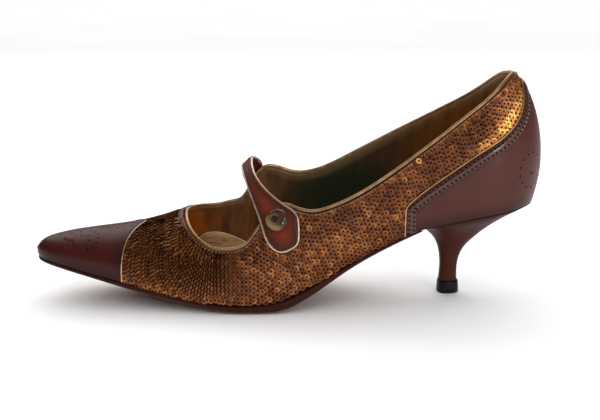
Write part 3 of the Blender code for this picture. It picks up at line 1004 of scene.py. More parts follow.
def hole_shape(radius: float, rim: float = 0.3, depth: float = 0.02 * MM) -> Mesh:
    """One punched hole: a shallow dish with a low rim, painted dark as the shade inside the hole.

    Args:
        radius: Radius of the hole.
        rim: Width of the rim as a share of the radius.
        depth: Depth of the dish.

    Returns:
        The hole.
    """
    work = bmesh.new()
    bmesh.ops.create_circle(work, cap_ends=True, segments=10, radius=radius)
    bmesh.ops.inset_region(work, faces=list(work.faces), thickness=radius * rim, depth=depth)
    return smoothed("hole", work)


def row_of(template: Mesh, stops: list[Stop], lift: float, rng: random.Random, sway: float = 0.0) -> Mesh:
    """Copies of a small shape along a line of stops, each turned along the line.

    Args:
        template: The small shape.
        stops: Where the copies go.
        lift: Height above the surface.
        rng: Source of the small differences.
        sway: Most that a copy turns out of line, in radians.

    Returns:
        The joined mesh.
    """
    places = []
    for i, stop in enumerate(stops):
        run = stops[min(i + 1, len(stops) - 1)].at - stops[max(i - 1, 0)].at
        run = Matrix.Rotation(rng.uniform(-sway, sway), 3, stop.normal) @ run
        places.append(upright(stop.at + stop.normal * lift, stop.normal, run))
    return scatter(template, places)


@dataclass(frozen=True)
class Crease:
    """A short, soft trough pressed into leather along a line given in millimetres."""

    line: tuple[Triple, ...]
    depth: float = 0.4 * MM
    width: float = 0.9 * MM
    parts: int = 24

    def press(self, mesh: Mesh) -> None:
        """Move the mesh's points in along their normals.

        Args:
            mesh: The leather.
        """
        count = len(self.line)
        line = between(np.linspace(0.0, count - 1.0, self.parts), range(count), np.array(self.line) * MM)
        spots = spots_of(mesh)
        normals = np.array([v.normal for v in mesh.vertices])
        reach = np.min(np.linalg.norm(spots[:, None, :] - line[None, :, :], axis=2), axis=1)
        spots -= normals * (self.depth * np.exp(-((reach / self.width) ** 2)))[:, None]
        mesh.vertices.foreach_set("co", spots.ravel())
        mesh.update()


@dataclass(frozen=True)
class LeatherPiece:
    """Smooth copy of a packed leather shell, darker at its edge and at a burnished point in millimetres."""

    node: str
    finish: Leather
    seed: Vector
    levels: int = 2
    edge_reach: float = 7.0 * MM
    creases: tuple[Crease, ...] = ()
    burnish: Triple | None = None
    burnish_reach: float = 15.0 * MM

    def build(self, nodes: Nodes) -> Skin:
        """Build and dress the piece.

        Args:
            nodes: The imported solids.

        Returns:
            Its outer face, for trim.
        """
        mesh = smooth_copy(nodes[self.node], self.levels)
        for crease in self.creases:
            crease.press(mesh)
        skin = Skin(mesh, self.seed)
        shares = near_share(mesh, points_of(skin.stops), self.edge_reach)
        if self.burnish is not None:
            middle = Vector(self.burnish) * MM
            reaches = [(v.co - middle).length / self.burnish_reach for v in mesh.vertices]
            shares = [min(pair) for pair in zip(shares, reaches)]
        set_values(mesh, "edge", shares)
        stand_in(self.node + "_leather", mesh, self.finish.material(), self.node)
        return skin


@dataclass
class Upper:
    """The upper's wall: backing cloth outside, lining inside."""

    cloth: Cloth = Cloth()
    lining: Lining = Lining()
    slab: float = 4.0 * MM
    toe_room: float = 14.0 * MM
    heel_room: float = 34.0 * MM
    fold: float = 6.0 * MM
    centre_share: float = 0.35
    inner_facing: float = -0.35

    def build(self, nodes: Nodes) -> Skin:
        """Build and dress the wall.

        Args:
            nodes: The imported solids.

        Returns:
            Its outer face.
        """
        mesh = smooth_copy(nodes["upper"])
        low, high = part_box("upper")
        spots = spots_of(mesh)
        stations = np.arange(low.x, high.x, self.slab)
        centres = []
        for x in stations:
            heights = spots[np.abs(spots[:, 0] - x) < self.slab][:, 2]
            centres.append(heights.min() + (heights.max() - heights.min()) * self.centre_share)
        mesh.materials.append(self.cloth.material())
        mesh.materials.append(self.lining.material())
        for face in mesh.polygons:
            x = clamp(face.center.x, low.x + self.toe_room, high.x - self.heel_room)
            axis = Vector((x, (low.y + high.y) / 2, float(np.interp(x, stations, centres))))
            if face.normal.dot((axis - face.center).normalized()) > self.inner_facing:
                face.material_index = 1
        skin = Skin(mesh, ALONG)
        set_values(mesh, "edge", near_share(mesh, points_of(skin.topline()), self.fold))
        stand_in("upper_wall", mesh, mesh.materials[0], "upper")
        return skin


@dataclass
class Spot:
    """A place for one sequin: point, normal, the string's upward run and the way to the next string."""

    at: Vector
    normal: Vector
    rise: Vector
    ahead: Vector
    tilt: float
    turn: float
    lift: float
    tone: float
    # shade: share of painted shadow on the rim; where it is low, the centre is painted dark instead.
    shade: float


@dataclass
class ClothHalf:
    """Half of the upper laid flat: sections across the shoe, measured up from the foot."""

    tree: BVHTree
    side: Side
    middle_y: float
    feet: tuple[np.ndarray, list[float]]
    first_x: float = -90.0 * MM
    last_x: float = -30.0 * MM
    step: float = 1.0 * MM
    ridge_from: float = -80.0 * MM
    ridge_to: float = -56.5 * MM
    level_from: float = -19.4 * MM
    reach: float = 120.0 * MM
    axis_lift: float = 9.0 * MM
    ray_step: float = 0.75
    rays: Pair = (-72.0, 90.1)
    least_facing: float = 0.05
    least_out: float = -0.2

    def __post_init__(self) -> None:
        """Cut the sections and fit the cloth's full height along the shoe."""
        self.stations = np.arange(self.first_x, self.last_x, self.step)
        self.sections = [self.section(float(x), 0.0, self.ray_step) for x in self.stations]
        solid = (self.stations > self.ridge_from) & (self.stations < self.ridge_to)
        heights = np.array([run[-1] for run, _, _ in self.sections])
        self.slope, self.base = np.polyfit(self.stations[solid], heights[solid], 1)

    def heading(self, turn: float) -> Vector:
        """Way from one section to the next, for a section turned towards the heel."""
        return Vector((math.cos(turn), -self.side.value * math.sin(turn), 0.0))

    def section(self, x: float, lean: float, degrees: float, turn: float = 0.0) -> Section:
        """Where a plane across the shoe meets the outer face.

        Args:
            x: Place of the section's foot.
            lean: Angle by which the plane leans towards the toe.
            degrees: Angle between rays.
            turn: Angle by which the plane turns towards the heel.

        Returns:
            Distance from the foot, point and normal along the section.
        """
        rise = UP * math.cos(lean) - self.heading(turn) * math.sin(lean)
        out = Vector((math.sin(turn), self.side.value * math.cos(turn), 0.0))
        axis = Vector((x, self.middle_y, float(np.interp(x, *self.feet)))) + rise * self.axis_lift
        found = []
        for angle in np.radians(np.arange(*self.rays, degrees)):
            ray = out * math.cos(angle) + rise * math.sin(angle)
            at, normal, _, _ = self.tree.ray_cast(axis + ray * self.reach, -ray, self.reach - MM)
            if at is not None and normal.dot(ray) > self.least_facing and normal.dot(out) > self.least_out:
                found.append([*at, *normal])
        rows = np.array(found).reshape(-1, 6)
        return run_along(rows[:, :3]), rows[:, :3], rows[:, 3:]

    def height(self, x: float) -> float:
        """Height of the whole cloth at a place, from its foot to the ridge or where that would be."""
        return self.base + self.slope * min(x, self.level_from)

    @staticmethod
    def along(section: Section, span: float) -> tuple[Vector, Vector]:
        """Point and normal at a distance up a section."""
        run, points, normals = section
        return Vector(between(span, run, points)), Vector(between(span, run, normals)).normalized()

    def place(self, x: float, depth: float) -> tuple[Vector, Vector, float, float]:
        """A point of the flat cloth, on the shoe.

        Args:
            x: Place along the shoe.
            depth: Distance down from the ridge.

        Returns:
            Point, normal, distance from the foot and distance to the top edge.
        """
        share = (clamp(x, self.first_x, self.stations[-1]) - self.first_x) / self.step
        index = min(int(share), len(self.sections) - 2)
        part = share - index
        span = self.height(x) - depth
        near, far = self.sections[index : index + 2]
        at_near, normal_near = self.along(near, span)
        at_far, normal_far = self.along(far, span)
        top = near[0][-1] * (1.0 - part) + far[0][-1] * part
        return at_near.lerp(at_far, part), normal_near.lerp(normal_far, part).normalized(), span, top - span


@dataclass
class Binding:
    """Flat band below the rolled cord, with bead stitches at its foot; its profile is in millimetres."""

    profile: tuple[Pair, ...] = (
        (-0.8, 0.1), (-0.2, 0.35), (0.5, 0.65), (1.4, 0.85), (1.95, 0.55), (2.0, -0.2),
    )
    full: float = 2.0 * MM
    throat_half: float = 9.0 * MM
    throat_fade: float = 8.0 * MM
    least_share: float = 0.15
    step: float = 1.1 * MM
    passes: int = 6
    bead_inset: float = 2.1 * MM
    bead_least: float = 0.5 * MM
    bead_pitch: float = 2.0 * MM
    bead_length: float = 1.1 * MM
    bead_radius: float = 0.24 * MM
    bead_lift: float = 0.6 * MM
    bead_sway: float = 0.3
    fold: Bronze = Bronze(
        "binding_fold", srgb(54, 30, 19), srgb(92, 57, 37), srgb(122, 80, 54), metallic=0.3, roughness=0.45
    )
    thread: Plain = Plain("bead_thread", srgb(196, 158, 124), srgb(112, 76, 54), roughness=0.5, scale=900.0)

    def share_at(self, stop: Stop) -> float:
        """Share of the full width, less beside the throat and along the collar."""
        beside = clamp((abs(stop.at.y) - self.throat_half) / self.throat_fade)
        return 1.0 - (1.0 - self.least_share) * beside if stop.at.x < 0.0 else self.least_share

    def width_at(self, stop: Stop) -> float:
        """How far down the band reaches."""
        return self.full * self.share_at(stop)

    def build(self, wall: Skin, rng: random.Random) -> None:
        """Lay the band round the top edge and sew it.

        Args:
            wall: The upper's outer face.
            rng: Source of the small differences.
        """
        stops = spaced(wall.topline(), self.step, True)
        shares = [self.share_at(stop) for stop in stops]
        rails = []
        for inset, lift in self.profile:
            line = wall.row(stops, [inset * share * MM for share in shares], lift * MM)
            rails.append(eased(line, True, self.passes))
        new_piece("binding_band", ribbon_mesh(rails, True, True), self.fold.material())
        insets = [max(self.bead_inset * share, self.bead_least) for share in shares]
        foot = [wall.inside(stop, inset) for stop, inset in zip(stops, insets)]
        bead = stitch_shape(self.bead_length, self.bead_radius)
        mesh = row_of(bead, spaced(foot, self.bead_pitch, True), self.bead_lift, rng, self.bead_sway)
        new_piece("binding_stitches", mesh, self.thread.material())


@dataclass
class Sequins:
    """Overlapping bronze sequins: strings that fan out round the throat and hang down the quarters."""

    radius: float = 1.55 * MM
    flat: float = 0.94 * MM
    core: float = 0.58 * MM
    cup: float = 0.12 * MM
    thickness: float = 0.1 * MM
    rim_share: float = 0.25
    sides: int = 10
    pitch: float = 2.25 * MM
    level_step: float = 1.7 * MM
    quarter_step: float = 1.95 * MM
    edging_share: float = 0.8
    edging_gap: float = 1.05
    foot_gap: float = 0.8 * MM
    low_rows: Pair = (2.7 * MM, 6.3 * MM)
    top_gap: float = 1.3 * MM
    throat_half: float = 9.0 * MM
    fan_x: float = -37.4 * MM
    fan_fade: float = 18.0 * MM
    fan_depth: float = 9.0 * MM
    fan_parts: int = 88
    fan_start: float = 6.0 * MM
    fan_reach: float = 62.0 * MM
    branch: Triple = (15.0 * MM, 30.0 * MM, 58.0 * MM)
    branch_spread: Pair = (0.92, 0.16)
    branch_mix: tuple[int, int] = (37, 11)
    vamp_tilt: float = 15.0
    vamp_turn: float = 6.0
    flip_at: float = 35.0
    flip_over: float = 20.0
    quarter_tilt: float = 9.0
    quarter_turn: float = -4.0
    sway: float = 4.0
    sway_scale: float = 70.0
    jitter: float = 2.4
    calm: float = 0.8
    slip: float = 0.16 * MM
    loose_share: float = 0.004
    loose_tilt: float = 18.0
    loose_below: float = 12.0
    clear: float = 0.5 * MM
    cover_reach: float = 5.0 * MM
    foot_slab: float = 3.0 * MM
    slope_reach: float = 4.0 * MM
    ray_step: float = 1.5
    least_points: int = 4
    lean: float = 20.0
    lean_over: Pair = (-20.0 * MM, 20.0 * MM)
    top_over: Pair = (8.0 * MM, 84.0 * MM)
    middle_x: float = 34.0 * MM
    round_x: float = 96.0 * MM
    round_reach: float = 38.0 * MM
    round_turn: float = 88.0
    bright_at: Triple = (0.0633, -0.0253, 0.0757)
    bright_reach: float = 3.1 * MM
    bright_lift: float = 0.6
    tone: float = 0.54
    # Painted light: the vamp's sequins lighten in their lowest rows, over toe_height from the foot, like the
    # pale floor's reflection.
    foot_painted_light: float = 0.06
    toe_height: float = 8.0 * MM
    throat_dim: float = 0.08
    # Painted shade: the quarter's sequins darken towards the top edge, over top_shares of the height.
    top_painted_shade: float = 0.24
    top_shares: Pair = (0.35, 0.9)
    back_painted_light: float = 0.42
    # Painted highlight: the sequins lighten towards the counter and turn gold in a band near its edge.
    back_over: Pair = (94.0 * MM, 112.0 * MM)
    gold_painted_highlight: float = 0.6
    highlight_near: Pair = (78.0 * MM, 98.0 * MM)
    highlight_height: float = 90.0 * MM
    highlight_slope: float = 0.9
    highlight_over: Pair = (97.5 * MM, 103.5 * MM)
    foot_dim: float = 0.25
    foot_over: Pair = (-5.0 * MM, -1.0 * MM)
    waist_over: Pair = (10.0 * MM, 40.0 * MM)
    edging_tone: float = 0.38
    edging_dim: float = 0.1
    tone_scale: float = 95.0
    tone_cloud: float = 0.22
    tone_jitter: float = 0.18
    tone_calm: float = 0.5
    tone_level: float = 0.8
    dark: Colour = srgb(80, 43, 26)
    middle: Colour = srgb(132, 76, 43)
    bright: Colour = srgb(210, 134, 76)
    # gold: top of the tone ramp, reached where the painted highlight and the painted glint lift the tone.
    gold: Colour = srgb(240, 184, 92)

    def finishes(self) -> list[Material]:
        """Make the materials.

        Returns:
            Those of a sequin's face, centre and rim.
        """
        made = []
        look = {"metallic": 0.55, "roughness": 0.33, "coat": 0.15, "gold": self.gold}
        # Painted shadow: the rim darkens as the shade attribute rises, a dark line under each lifted edge;
        # the centre is dark where it is low, partly the thread in the hole and partly painted shade.
        for name, shaded in (("face", None), ("centre", (1.0, 0.2)), ("rim", (0.15, 1.0))):
            finish = Bronze("sequin_" + name, self.dark, self.middle, self.bright, shaded=shaded, **look)
            made.append(finish.material())
        return made

    def shape(self) -> Mesh:
        """Turn one sequin: a thin cupped disc with a sunk centre.

        Returns:
            The sequin, with finishes of their own for its centre and rim; the rim faces lie on its lifted
            side, where the painted shadow goes.
        """
        profile = (
            (0.0, -self.thickness / 2),
            (self.core, 0.0),
            (self.flat, 0.0),
            (self.radius, self.cup),
            (self.radius, self.cup - self.thickness),
            (0.0, -self.thickness),
        )
        work = turned(profile, self.sides)
        for face in work.faces:
            middle = face.calc_center_median()
            reach = middle.xy.length
            # Rim faces on the +X side, the edge that lifts over the next row, take the painted shadow; faces
            # in the middle form the centre.
            if reach > self.flat and middle.x > reach * self.rim_share:
                face.material_index = 2
            elif reach < self.core and face.normal.z > 0.0:
                face.material_index = 1
        return baked("sequin", work)

    def start_of(self, index: int) -> float:
        """Where a string starts, so that strings branch as they spread.

        Args:
            index: Number of the string, or less than 1 above the fan.

        Returns:
            Distance from the fan's middle.
        """
        least, more = self.branch_spread
        step, parts = self.branch_mix
        for level, start in enumerate(self.branch[::-1]):
            if index > 0 and index % (2 ** (level + 1)):
                return start * (least + more * (index * step % parts) / parts)
        return self.fan_start

    def parity(self, index: int, reach: float) -> int:
        """Whether a string is staggered at a distance from the fan's middle."""
        passed = sum(reach > start for start in self.branch)
        return index // 2 ** (len(self.branch) - passed) % 2 if index > 0 else index % 2

    def vamp_share(self, x: float) -> float:
        """How far a place belongs to the vamp, from 1 to 0."""
        return 1.0 - ease(x, self.fan_x, self.fan_x + self.fan_fade)

    def rise_of(self, tilt: float) -> float:
        """How far a sequin's middle is lifted by its tilt."""
        return self.radius * math.sin(math.radians(tilt))

    def vamp(self, half: ClothHalf) -> list[Spot]:
        """Places on half of the vamp.

        Args:
            half: The half, laid flat.

        Returns:
            The places.
        """
        spots = []
        rows = int(self.fan_depth / self.level_step)
        lift = self.rise_of(self.vamp_tilt)
        for row in range(-rows, self.fan_parts):
            angle = max(row, 0) / self.fan_parts * math.pi / 2
            cosine, sine = math.cos(angle), math.sin(angle)
            drop = max(-row, 0) * self.level_step
            start = self.start_of(row)
            tilt = self.vamp_tilt
            if half.side is Side.MEDIAL:
                tilt *= clamp((math.degrees(angle) - self.flip_at) / self.flip_over, -1.0)
            for count in range(int(self.fan_reach / self.pitch)):
                reach = count * self.pitch
                reach += self.parity(row, reach) * self.pitch / 2
                x = self.fan_x - reach * cosine
                depth = self.fan_depth - drop + reach * sine
                if reach < start or x < half.first_x or depth < 0.0:
                    continue
                at, normal, foot, top = half.place(x, depth)
                if foot < self.foot_gap or (x > half.ridge_to and top < 0.0):
                    continue
                rise = (half.place(x + MM * cosine, depth - MM * sine)[0] - at).normalized()
                ahead = half.place(x + MM * sine, depth + MM * cosine)[0] - at
                # Painted light: lighter towards the foot.
                tone = self.tone + self.foot_painted_light * ease(-foot, -self.toe_height, 0.0)
                # Painted shadow on the rims, eased off in the lowest rows.
                shade = ease(foot, *self.low_rows)
                spots.append(Spot(at, normal, rise, ahead, tilt, self.vamp_turn, lift, tone, shade))
        return spots

    def strings(self, half: ClothHalf) -> list[Pair]:
        """Where the strings of a quarter hang.

        Args:
            half: The side's cloth.

        Returns:
            Place along the shoe and turn round the heel of each string.
        """
        places = [(self.fan_x, 0.0)]
        while places[-1][0] < self.round_x:
            x = places[-1][0]
            ahead, behind = np.interp([x + self.slope_reach, x - self.slope_reach], *half.feet)
            slope = math.atan2(ahead - behind, 2.0 * self.slope_reach)
            places.append((x + self.quarter_step * math.cos(slope), 0.0))
        last = places[-1][0]
        count = int(math.radians(self.round_turn) * self.round_reach / self.quarter_step)
        return places + [(last, k * self.quarter_step / self.round_reach) for k in range(1, count + 1)]

    def quarter(self, half: ClothHalf) -> list[Spot]:
        """Places down one quarter, from the throat to the heel.

        Args:
            half: The side's cloth.

        Returns:
            The places.
        """
        spots = []
        lean = math.radians(self.lean)
        middle = half.section(self.middle_x, lean, self.ray_step)[0][-1]
        for index, (x, angle) in enumerate(self.strings(half)):
            share = ease(x, *self.lean_over) * (1.0 - angle / math.radians(self.round_turn))
            section = half.section(x, lean * share, self.ray_step, angle)
            run = section[0]
            if len(run) < self.least_points:
                continue
            shift = half.height(x) - self.fan_depth + (index % 2) * self.pitch / 2
            shift += ease(x, *self.top_over) * (run[-1] - middle)
            vamp = self.vamp_share(x)
            tilt = self.quarter_tilt + (self.vamp_tilt - self.quarter_tilt) * vamp
            turn = self.quarter_turn + (self.vamp_turn - self.quarter_turn) * vamp
            first = shift - math.ceil(shift / self.pitch) * self.pitch
            waist = ease(x, *self.waist_over)
            for span in np.arange(first, run[-1], self.pitch):
                if span < self.foot_gap:
                    continue
                at, normal = half.along(section, span)
                rise = (half.along(section, span + MM)[0] - at).normalized()
                # Painted shade towards the top and painted highlight towards the counter; also slightly
                # darker near the throat and at the foot of the waist.
                high = ease(span / run[-1], *self.top_shares)
                tone = self.tone - self.throat_dim * vamp - self.top_painted_shade * high + self.back_painted_highlight(at)
                tone -= self.foot_dim * ease(-span, *self.foot_over) * waist
                # Painted shadow on the rims only where the quarter runs into the vamp, above the lowest rows.
                shade = vamp * ease(span, *self.low_rows)
                lift = self.rise_of(tilt)
                spots.append(Spot(at, normal, rise, half.heading(angle), tilt, turn, lift, tone, shade))
        return spots

    def back_painted_highlight(self, at: Vector) -> float:
        """How much a painted highlight brightens a place towards the counter, up to gold in a band near its
        edge.

        Args:
            at: The place.

        Returns:
            The rise of the tone.
        """
        # gold: the painted highlight's gold band near the counter's edge.
        past = at.x - self.highlight_slope * (at.z - self.highlight_height)
        gold = self.gold_painted_highlight * ease(at.x, *self.highlight_near) * ease(past, *self.highlight_over)
        return self.back_painted_light * ease(at.x, *self.back_over) + gold

    def edging(self, wall: Skin, side: Side, binding: Binding) -> list[Spot]:
        """Places in the row that follows the binding's foot.

        Args:
            wall: The upper's outer face.
            side: The side of the shoe.
            binding: Binding of the top edge.

        Returns:
            The places.
        """
        spots = []
        stops = spaced(wall.topline(), self.quarter_step * self.edging_share, True)
        lift = self.rise_of(self.quarter_tilt) * self.edging_share
        for stop, after in zip(stops, stops[1:] + stops[:1]):
            if stop.at.y * side.value < (self.throat_half if stop.at.x < 0.0 else 0.0):
                continue
            foot = wall.inside(stop, binding.width_at(stop) + self.top_gap * self.edging_gap)
            vamp = self.vamp_share(stop.at.x)
            ahead = after.at - stop.at
            ahead *= math.copysign(1.0, ahead.x)
            rise = (stop.at - foot.at).normalized()
            # Painted shade: the edging row under the binding is darker, like the quarter's top, and a little
            # darker towards the vamp; its rims take painted shadow where it meets the vamp.
            tone = self.edging_tone - self.edging_dim * vamp
            spots.append(Spot(foot.at, foot.normal, rise, ahead, self.quarter_tilt, 0.0, lift, tone, vamp))
        return spots

    def build(self, wall: Skin, covers: list[Skin], binding: Binding, rng: random.Random) -> None:
        """Sew the sequins on where no leather covers the cloth.

        Args:
            wall: The upper's outer face.
            covers: Leather pieces that lie on it.
            binding: Binding of the top edge.
            rng: Source of the small differences.
        """
        low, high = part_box("upper")
        cloud = spots_of(wall.mesh)
        stations = np.arange(low.x, high.x, self.foot_slab)
        feet = [cloud[np.abs(cloud[:, 0] - x) < self.foot_slab][:, 2].min() for x in stations]
        finishes = self.finishes()
        edge = wall.topline()
        topline = search_tree(points_of(edge))
        widths = [binding.width_at(stop) for stop in edge]
        groups: dict[str, list[Spot]] = {}
        for side in Side:
            half = ClothHalf(wall.tree, side, (low.y + high.y) / 2, (stations, feet))
            groups[side.name.lower() + "_vamp"] = self.vamp(half)
            groups[side.name.lower() + "_quarter"] = self.quarter(half) + self.edging(wall, side, binding)
        for name, spots in groups.items():
            shown = [spot for spot in spots if not self.covered(spot, covers, topline, widths)]
            self.raise_bright(shown)
            places = [self.placement(spot, rng) for spot in shown]
            tones = [self.tone_of(spot, rng) for spot in shown]
            mesh = scatter(self.shape(), places, tint=tones, shade=[spot.shade for spot in shown])
            for finish in finishes:
                mesh.materials.append(finish)
            new_piece("sequins_" + name, mesh, finishes[0])
            LOG.info("%s sequins: %d", name, len(places))

    def raise_bright(self, shown: list[Spot]) -> None:
        """Lift the one loose sequin, where it is among some places, and paint it bright as a glint.

        Args:
            shown: The places.
        """
        goal = Vector(self.bright_at)
        lifted = min(shown, key=lambda spot: (spot.at - goal).length)
        if (lifted.at - goal).length < self.bright_reach:
            lifted.tilt += self.loose_tilt
            lifted.lift += self.radius * self.bright_lift
            # Painted glint: full tone, which is gold.
            lifted.tone = 1.0

    def tone_of(self, spot: Spot, rng: random.Random) -> float:
        """Tone of one sequin, which differs a little from its neighbours'."""
        change = self.tone_cloud * noise.noise(spot.at * self.tone_scale) + rng.gauss(0.0, self.tone_jitter)
        return self.tone_level * (spot.tone + change * (1.0 - self.tone_calm * spot.shade))

    def covered(self, spot: Spot, covers: list[Skin], topline: KDTree, widths: list[float]) -> bool:
        """Whether leather or the binding lies over a place or touches it.

        Args:
            spot: The place.
            covers: Leather pieces.
            topline: Points along the upper's top edge.
            widths: How far down the binding reaches at each of those points.

        Returns:
            True where no sequin goes.
        """
        _, index, distance = topline.find(spot.at)
        if distance < widths[index] + self.top_gap:
            return True
        for cover in covers:
            if cover.tree.ray_cast(spot.at, spot.normal, self.cover_reach)[0] is not None:
                return True
            if cover.tree.find_nearest(spot.at)[3] < self.clear:
                return True
        return False

    def placement(self, spot: Spot, rng: random.Random) -> Matrix:
        """Where one sequin sits, tilted so that it lies over its neighbours.

        Args:
            spot: Its place.
            rng: Source of the small differences.

        Returns:
            The placement.
        """
        across = spot.normal.cross(spot.rise)
        if across.dot(spot.ahead) < 0.0:
            across = -across
        free = 1.0 - self.calm * spot.shade
        slow = noise.noise(spot.at * self.sway_scale) * self.sway * free
        may_lift = rng.random() < self.loose_share and abs(spot.tilt) < self.loose_below
        loose = self.loose_tilt if may_lift else 0.0
        tilt = math.radians(spot.tilt + slow + loose + rng.gauss(0.0, self.jitter) * free)
        turn = math.radians(spot.turn + rng.gauss(0.0, self.jitter) * free)
        facing = (spot.normal - across * math.tan(tilt) + spot.rise * math.tan(turn)).normalized()
        slip = spot.rise * rng.gauss(0.0, self.slip) + across * rng.gauss(0.0, self.slip)
        at = spot.at + spot.normal * (spot.lift + self.rise_of(loose)) + slip * (1.0 - spot.shade)
        return upright(at, facing, across)


@dataclass
class Button:
    """Turned horn button on the strap's tab, with a sunk centre; its profile is in millimetres."""

    profile: tuple[Pair, ...] = (
        (0.0, 0.0), (4.3, 0.0), (5.1, 0.7), (5.55, 1.7), (5.4, 2.6), (4.7, 3.5), (3.7, 4.1), (2.7, 4.3),
        (2.3, 4.2), (1.9, 3.8), (1.5, 3.4), (1.0, 3.3), (0.0, 3.5),
    )
    sides: int = 48
    well: float = 1.9 * MM
    well_core: float = 0.6
    well_painted_shade: float = 0.95
    well_shift: Triple = (-1.5 * MM, 0.5 * MM, 0.0)
    shift_reach: float = 5.0 * MM
    waist: float = 2.0 * MM
    rim: float = 2.9 * MM
    rim_from: float = 3.0 * MM
    rim_khaki: float = 0.2
    khaki_side: Triple = (-0.7, -0.7, 0.0)
    khaki_reach: float = 3.0 * MM
    khaki_from: float = 0.2
    flat_facing: float = 0.999
    finish: Horn = Horn()

    def seat(self, node: bpy.types.Object) -> Matrix:
        """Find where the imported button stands.

        Args:
            node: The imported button.

        Returns:
            Placement of the button's base.
        """
        packed = merged_copy(node)
        base = max(packed.faces, key=lambda face: face.calc_area())
        flat = [face for face in packed.faces if face.normal.dot(base.normal) > self.flat_facing]
        facing = -sum((face.normal * face.calc_area() for face in flat), Vector()).normalized()
        ring = [vert.co.copy() for vert in packed.verts]
        packed.free()
        low = min(point.dot(facing) for point in ring)
        centre = sum(ring, Vector()) / len(ring)
        return upright(centre + facing * (low - centre.dot(facing)), facing, ALONG)

    def build(self, nodes: Nodes) -> None:
        """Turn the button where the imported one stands.

        Args:
            nodes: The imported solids.
        """
        mesh = smoothed("horn_button", turned([(r * MM, h * MM) for r, h in self.profile], self.sides))
        dark = []
        khaki = []
        for vert in mesh.vertices:
            reach = vert.co.xy.length
            upper = vert.co.z > self.waist
            # Painted shade on the sunk well's slope.
            sunk = upper and self.well * self.well_core < reach < self.well
            dark.append(self.well_painted_shade if sunk else 0.0)
            side = vert.co.dot(Vector(self.khaki_side)) / self.khaki_reach - self.khaki_from
            on_rim = self.well < reach < self.rim and vert.co.z > self.rim_from
            khaki.append(clamp(max(side, self.rim_khaki if on_rim else 0.0)))
            if upper:
                vert.co += Vector(self.well_shift) * max(0.0, 1.0 - reach / self.shift_reach)
        set_values(mesh, "edge", dark)
        set_values(mesh, "tint", khaki)
        mesh.transform(self.seat(nodes["button"]))
        stand_in("horn_button", mesh, self.finish.material(), "button")


@dataclass
class Bottom:
    """Outsole, insole, heel and top piece."""

    sole: SoleLeather = SoleLeather()
    sock: SockLining = SockLining()
    heel: Leather = Leather(
        "heel_cover", srgb(68, 34, 27), srgb(44, 21, 17), srgb(78, 40, 31), coat=0.0, specular=0.04
    )
    rubber: Plain = Plain("top_piece_rubber", srgb(20, 15, 16), srgb(12, 9, 10), roughness=0.5)
    sole_crease: float = 50.0
    heel_crease: float = 60.0
    heel_fade: float = 18.0 * MM
    heel_least: float = 0.15
    under_fade: Pair = (0.6, 0.2)
    edge_fade: Pair = (0.1, 0.6)

    def build(self, nodes: Nodes) -> None:
        """Build and dress the pieces under the foot.

        Args:
            nodes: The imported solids.
        """
        outsole = smooth_copy(nodes["outsole"], crease=self.sole_crease)
        for name, (start, width) in (("under", self.under_fade), ("edge", self.edge_fade)):
            set_values(outsole, name, [clamp((-v.normal.z - start) / width) for v in outsole.vertices])
        stand_in("outsole_leather", outsole, self.sole.material(), "outsole")
        stand_in("sock_lining", smooth_copy(nodes["insole"], levels=1), self.sock.material(), "insole")
        heel = smooth_copy(nodes["heel"], crease=self.heel_crease)
        drops = spots_of(heel)[:, 2].max() - spots_of(heel)[:, 2]
        set_values(heel, "edge", [clamp(drop / self.heel_fade, self.heel_least) for drop in drops])
        stand_in("heel_cover", heel, self.heel.material(), "heel")
        stand_in("top_piece", smooth_copy(nodes["heel_tip"], levels=1), self.rubber.material(), "heel_tip")


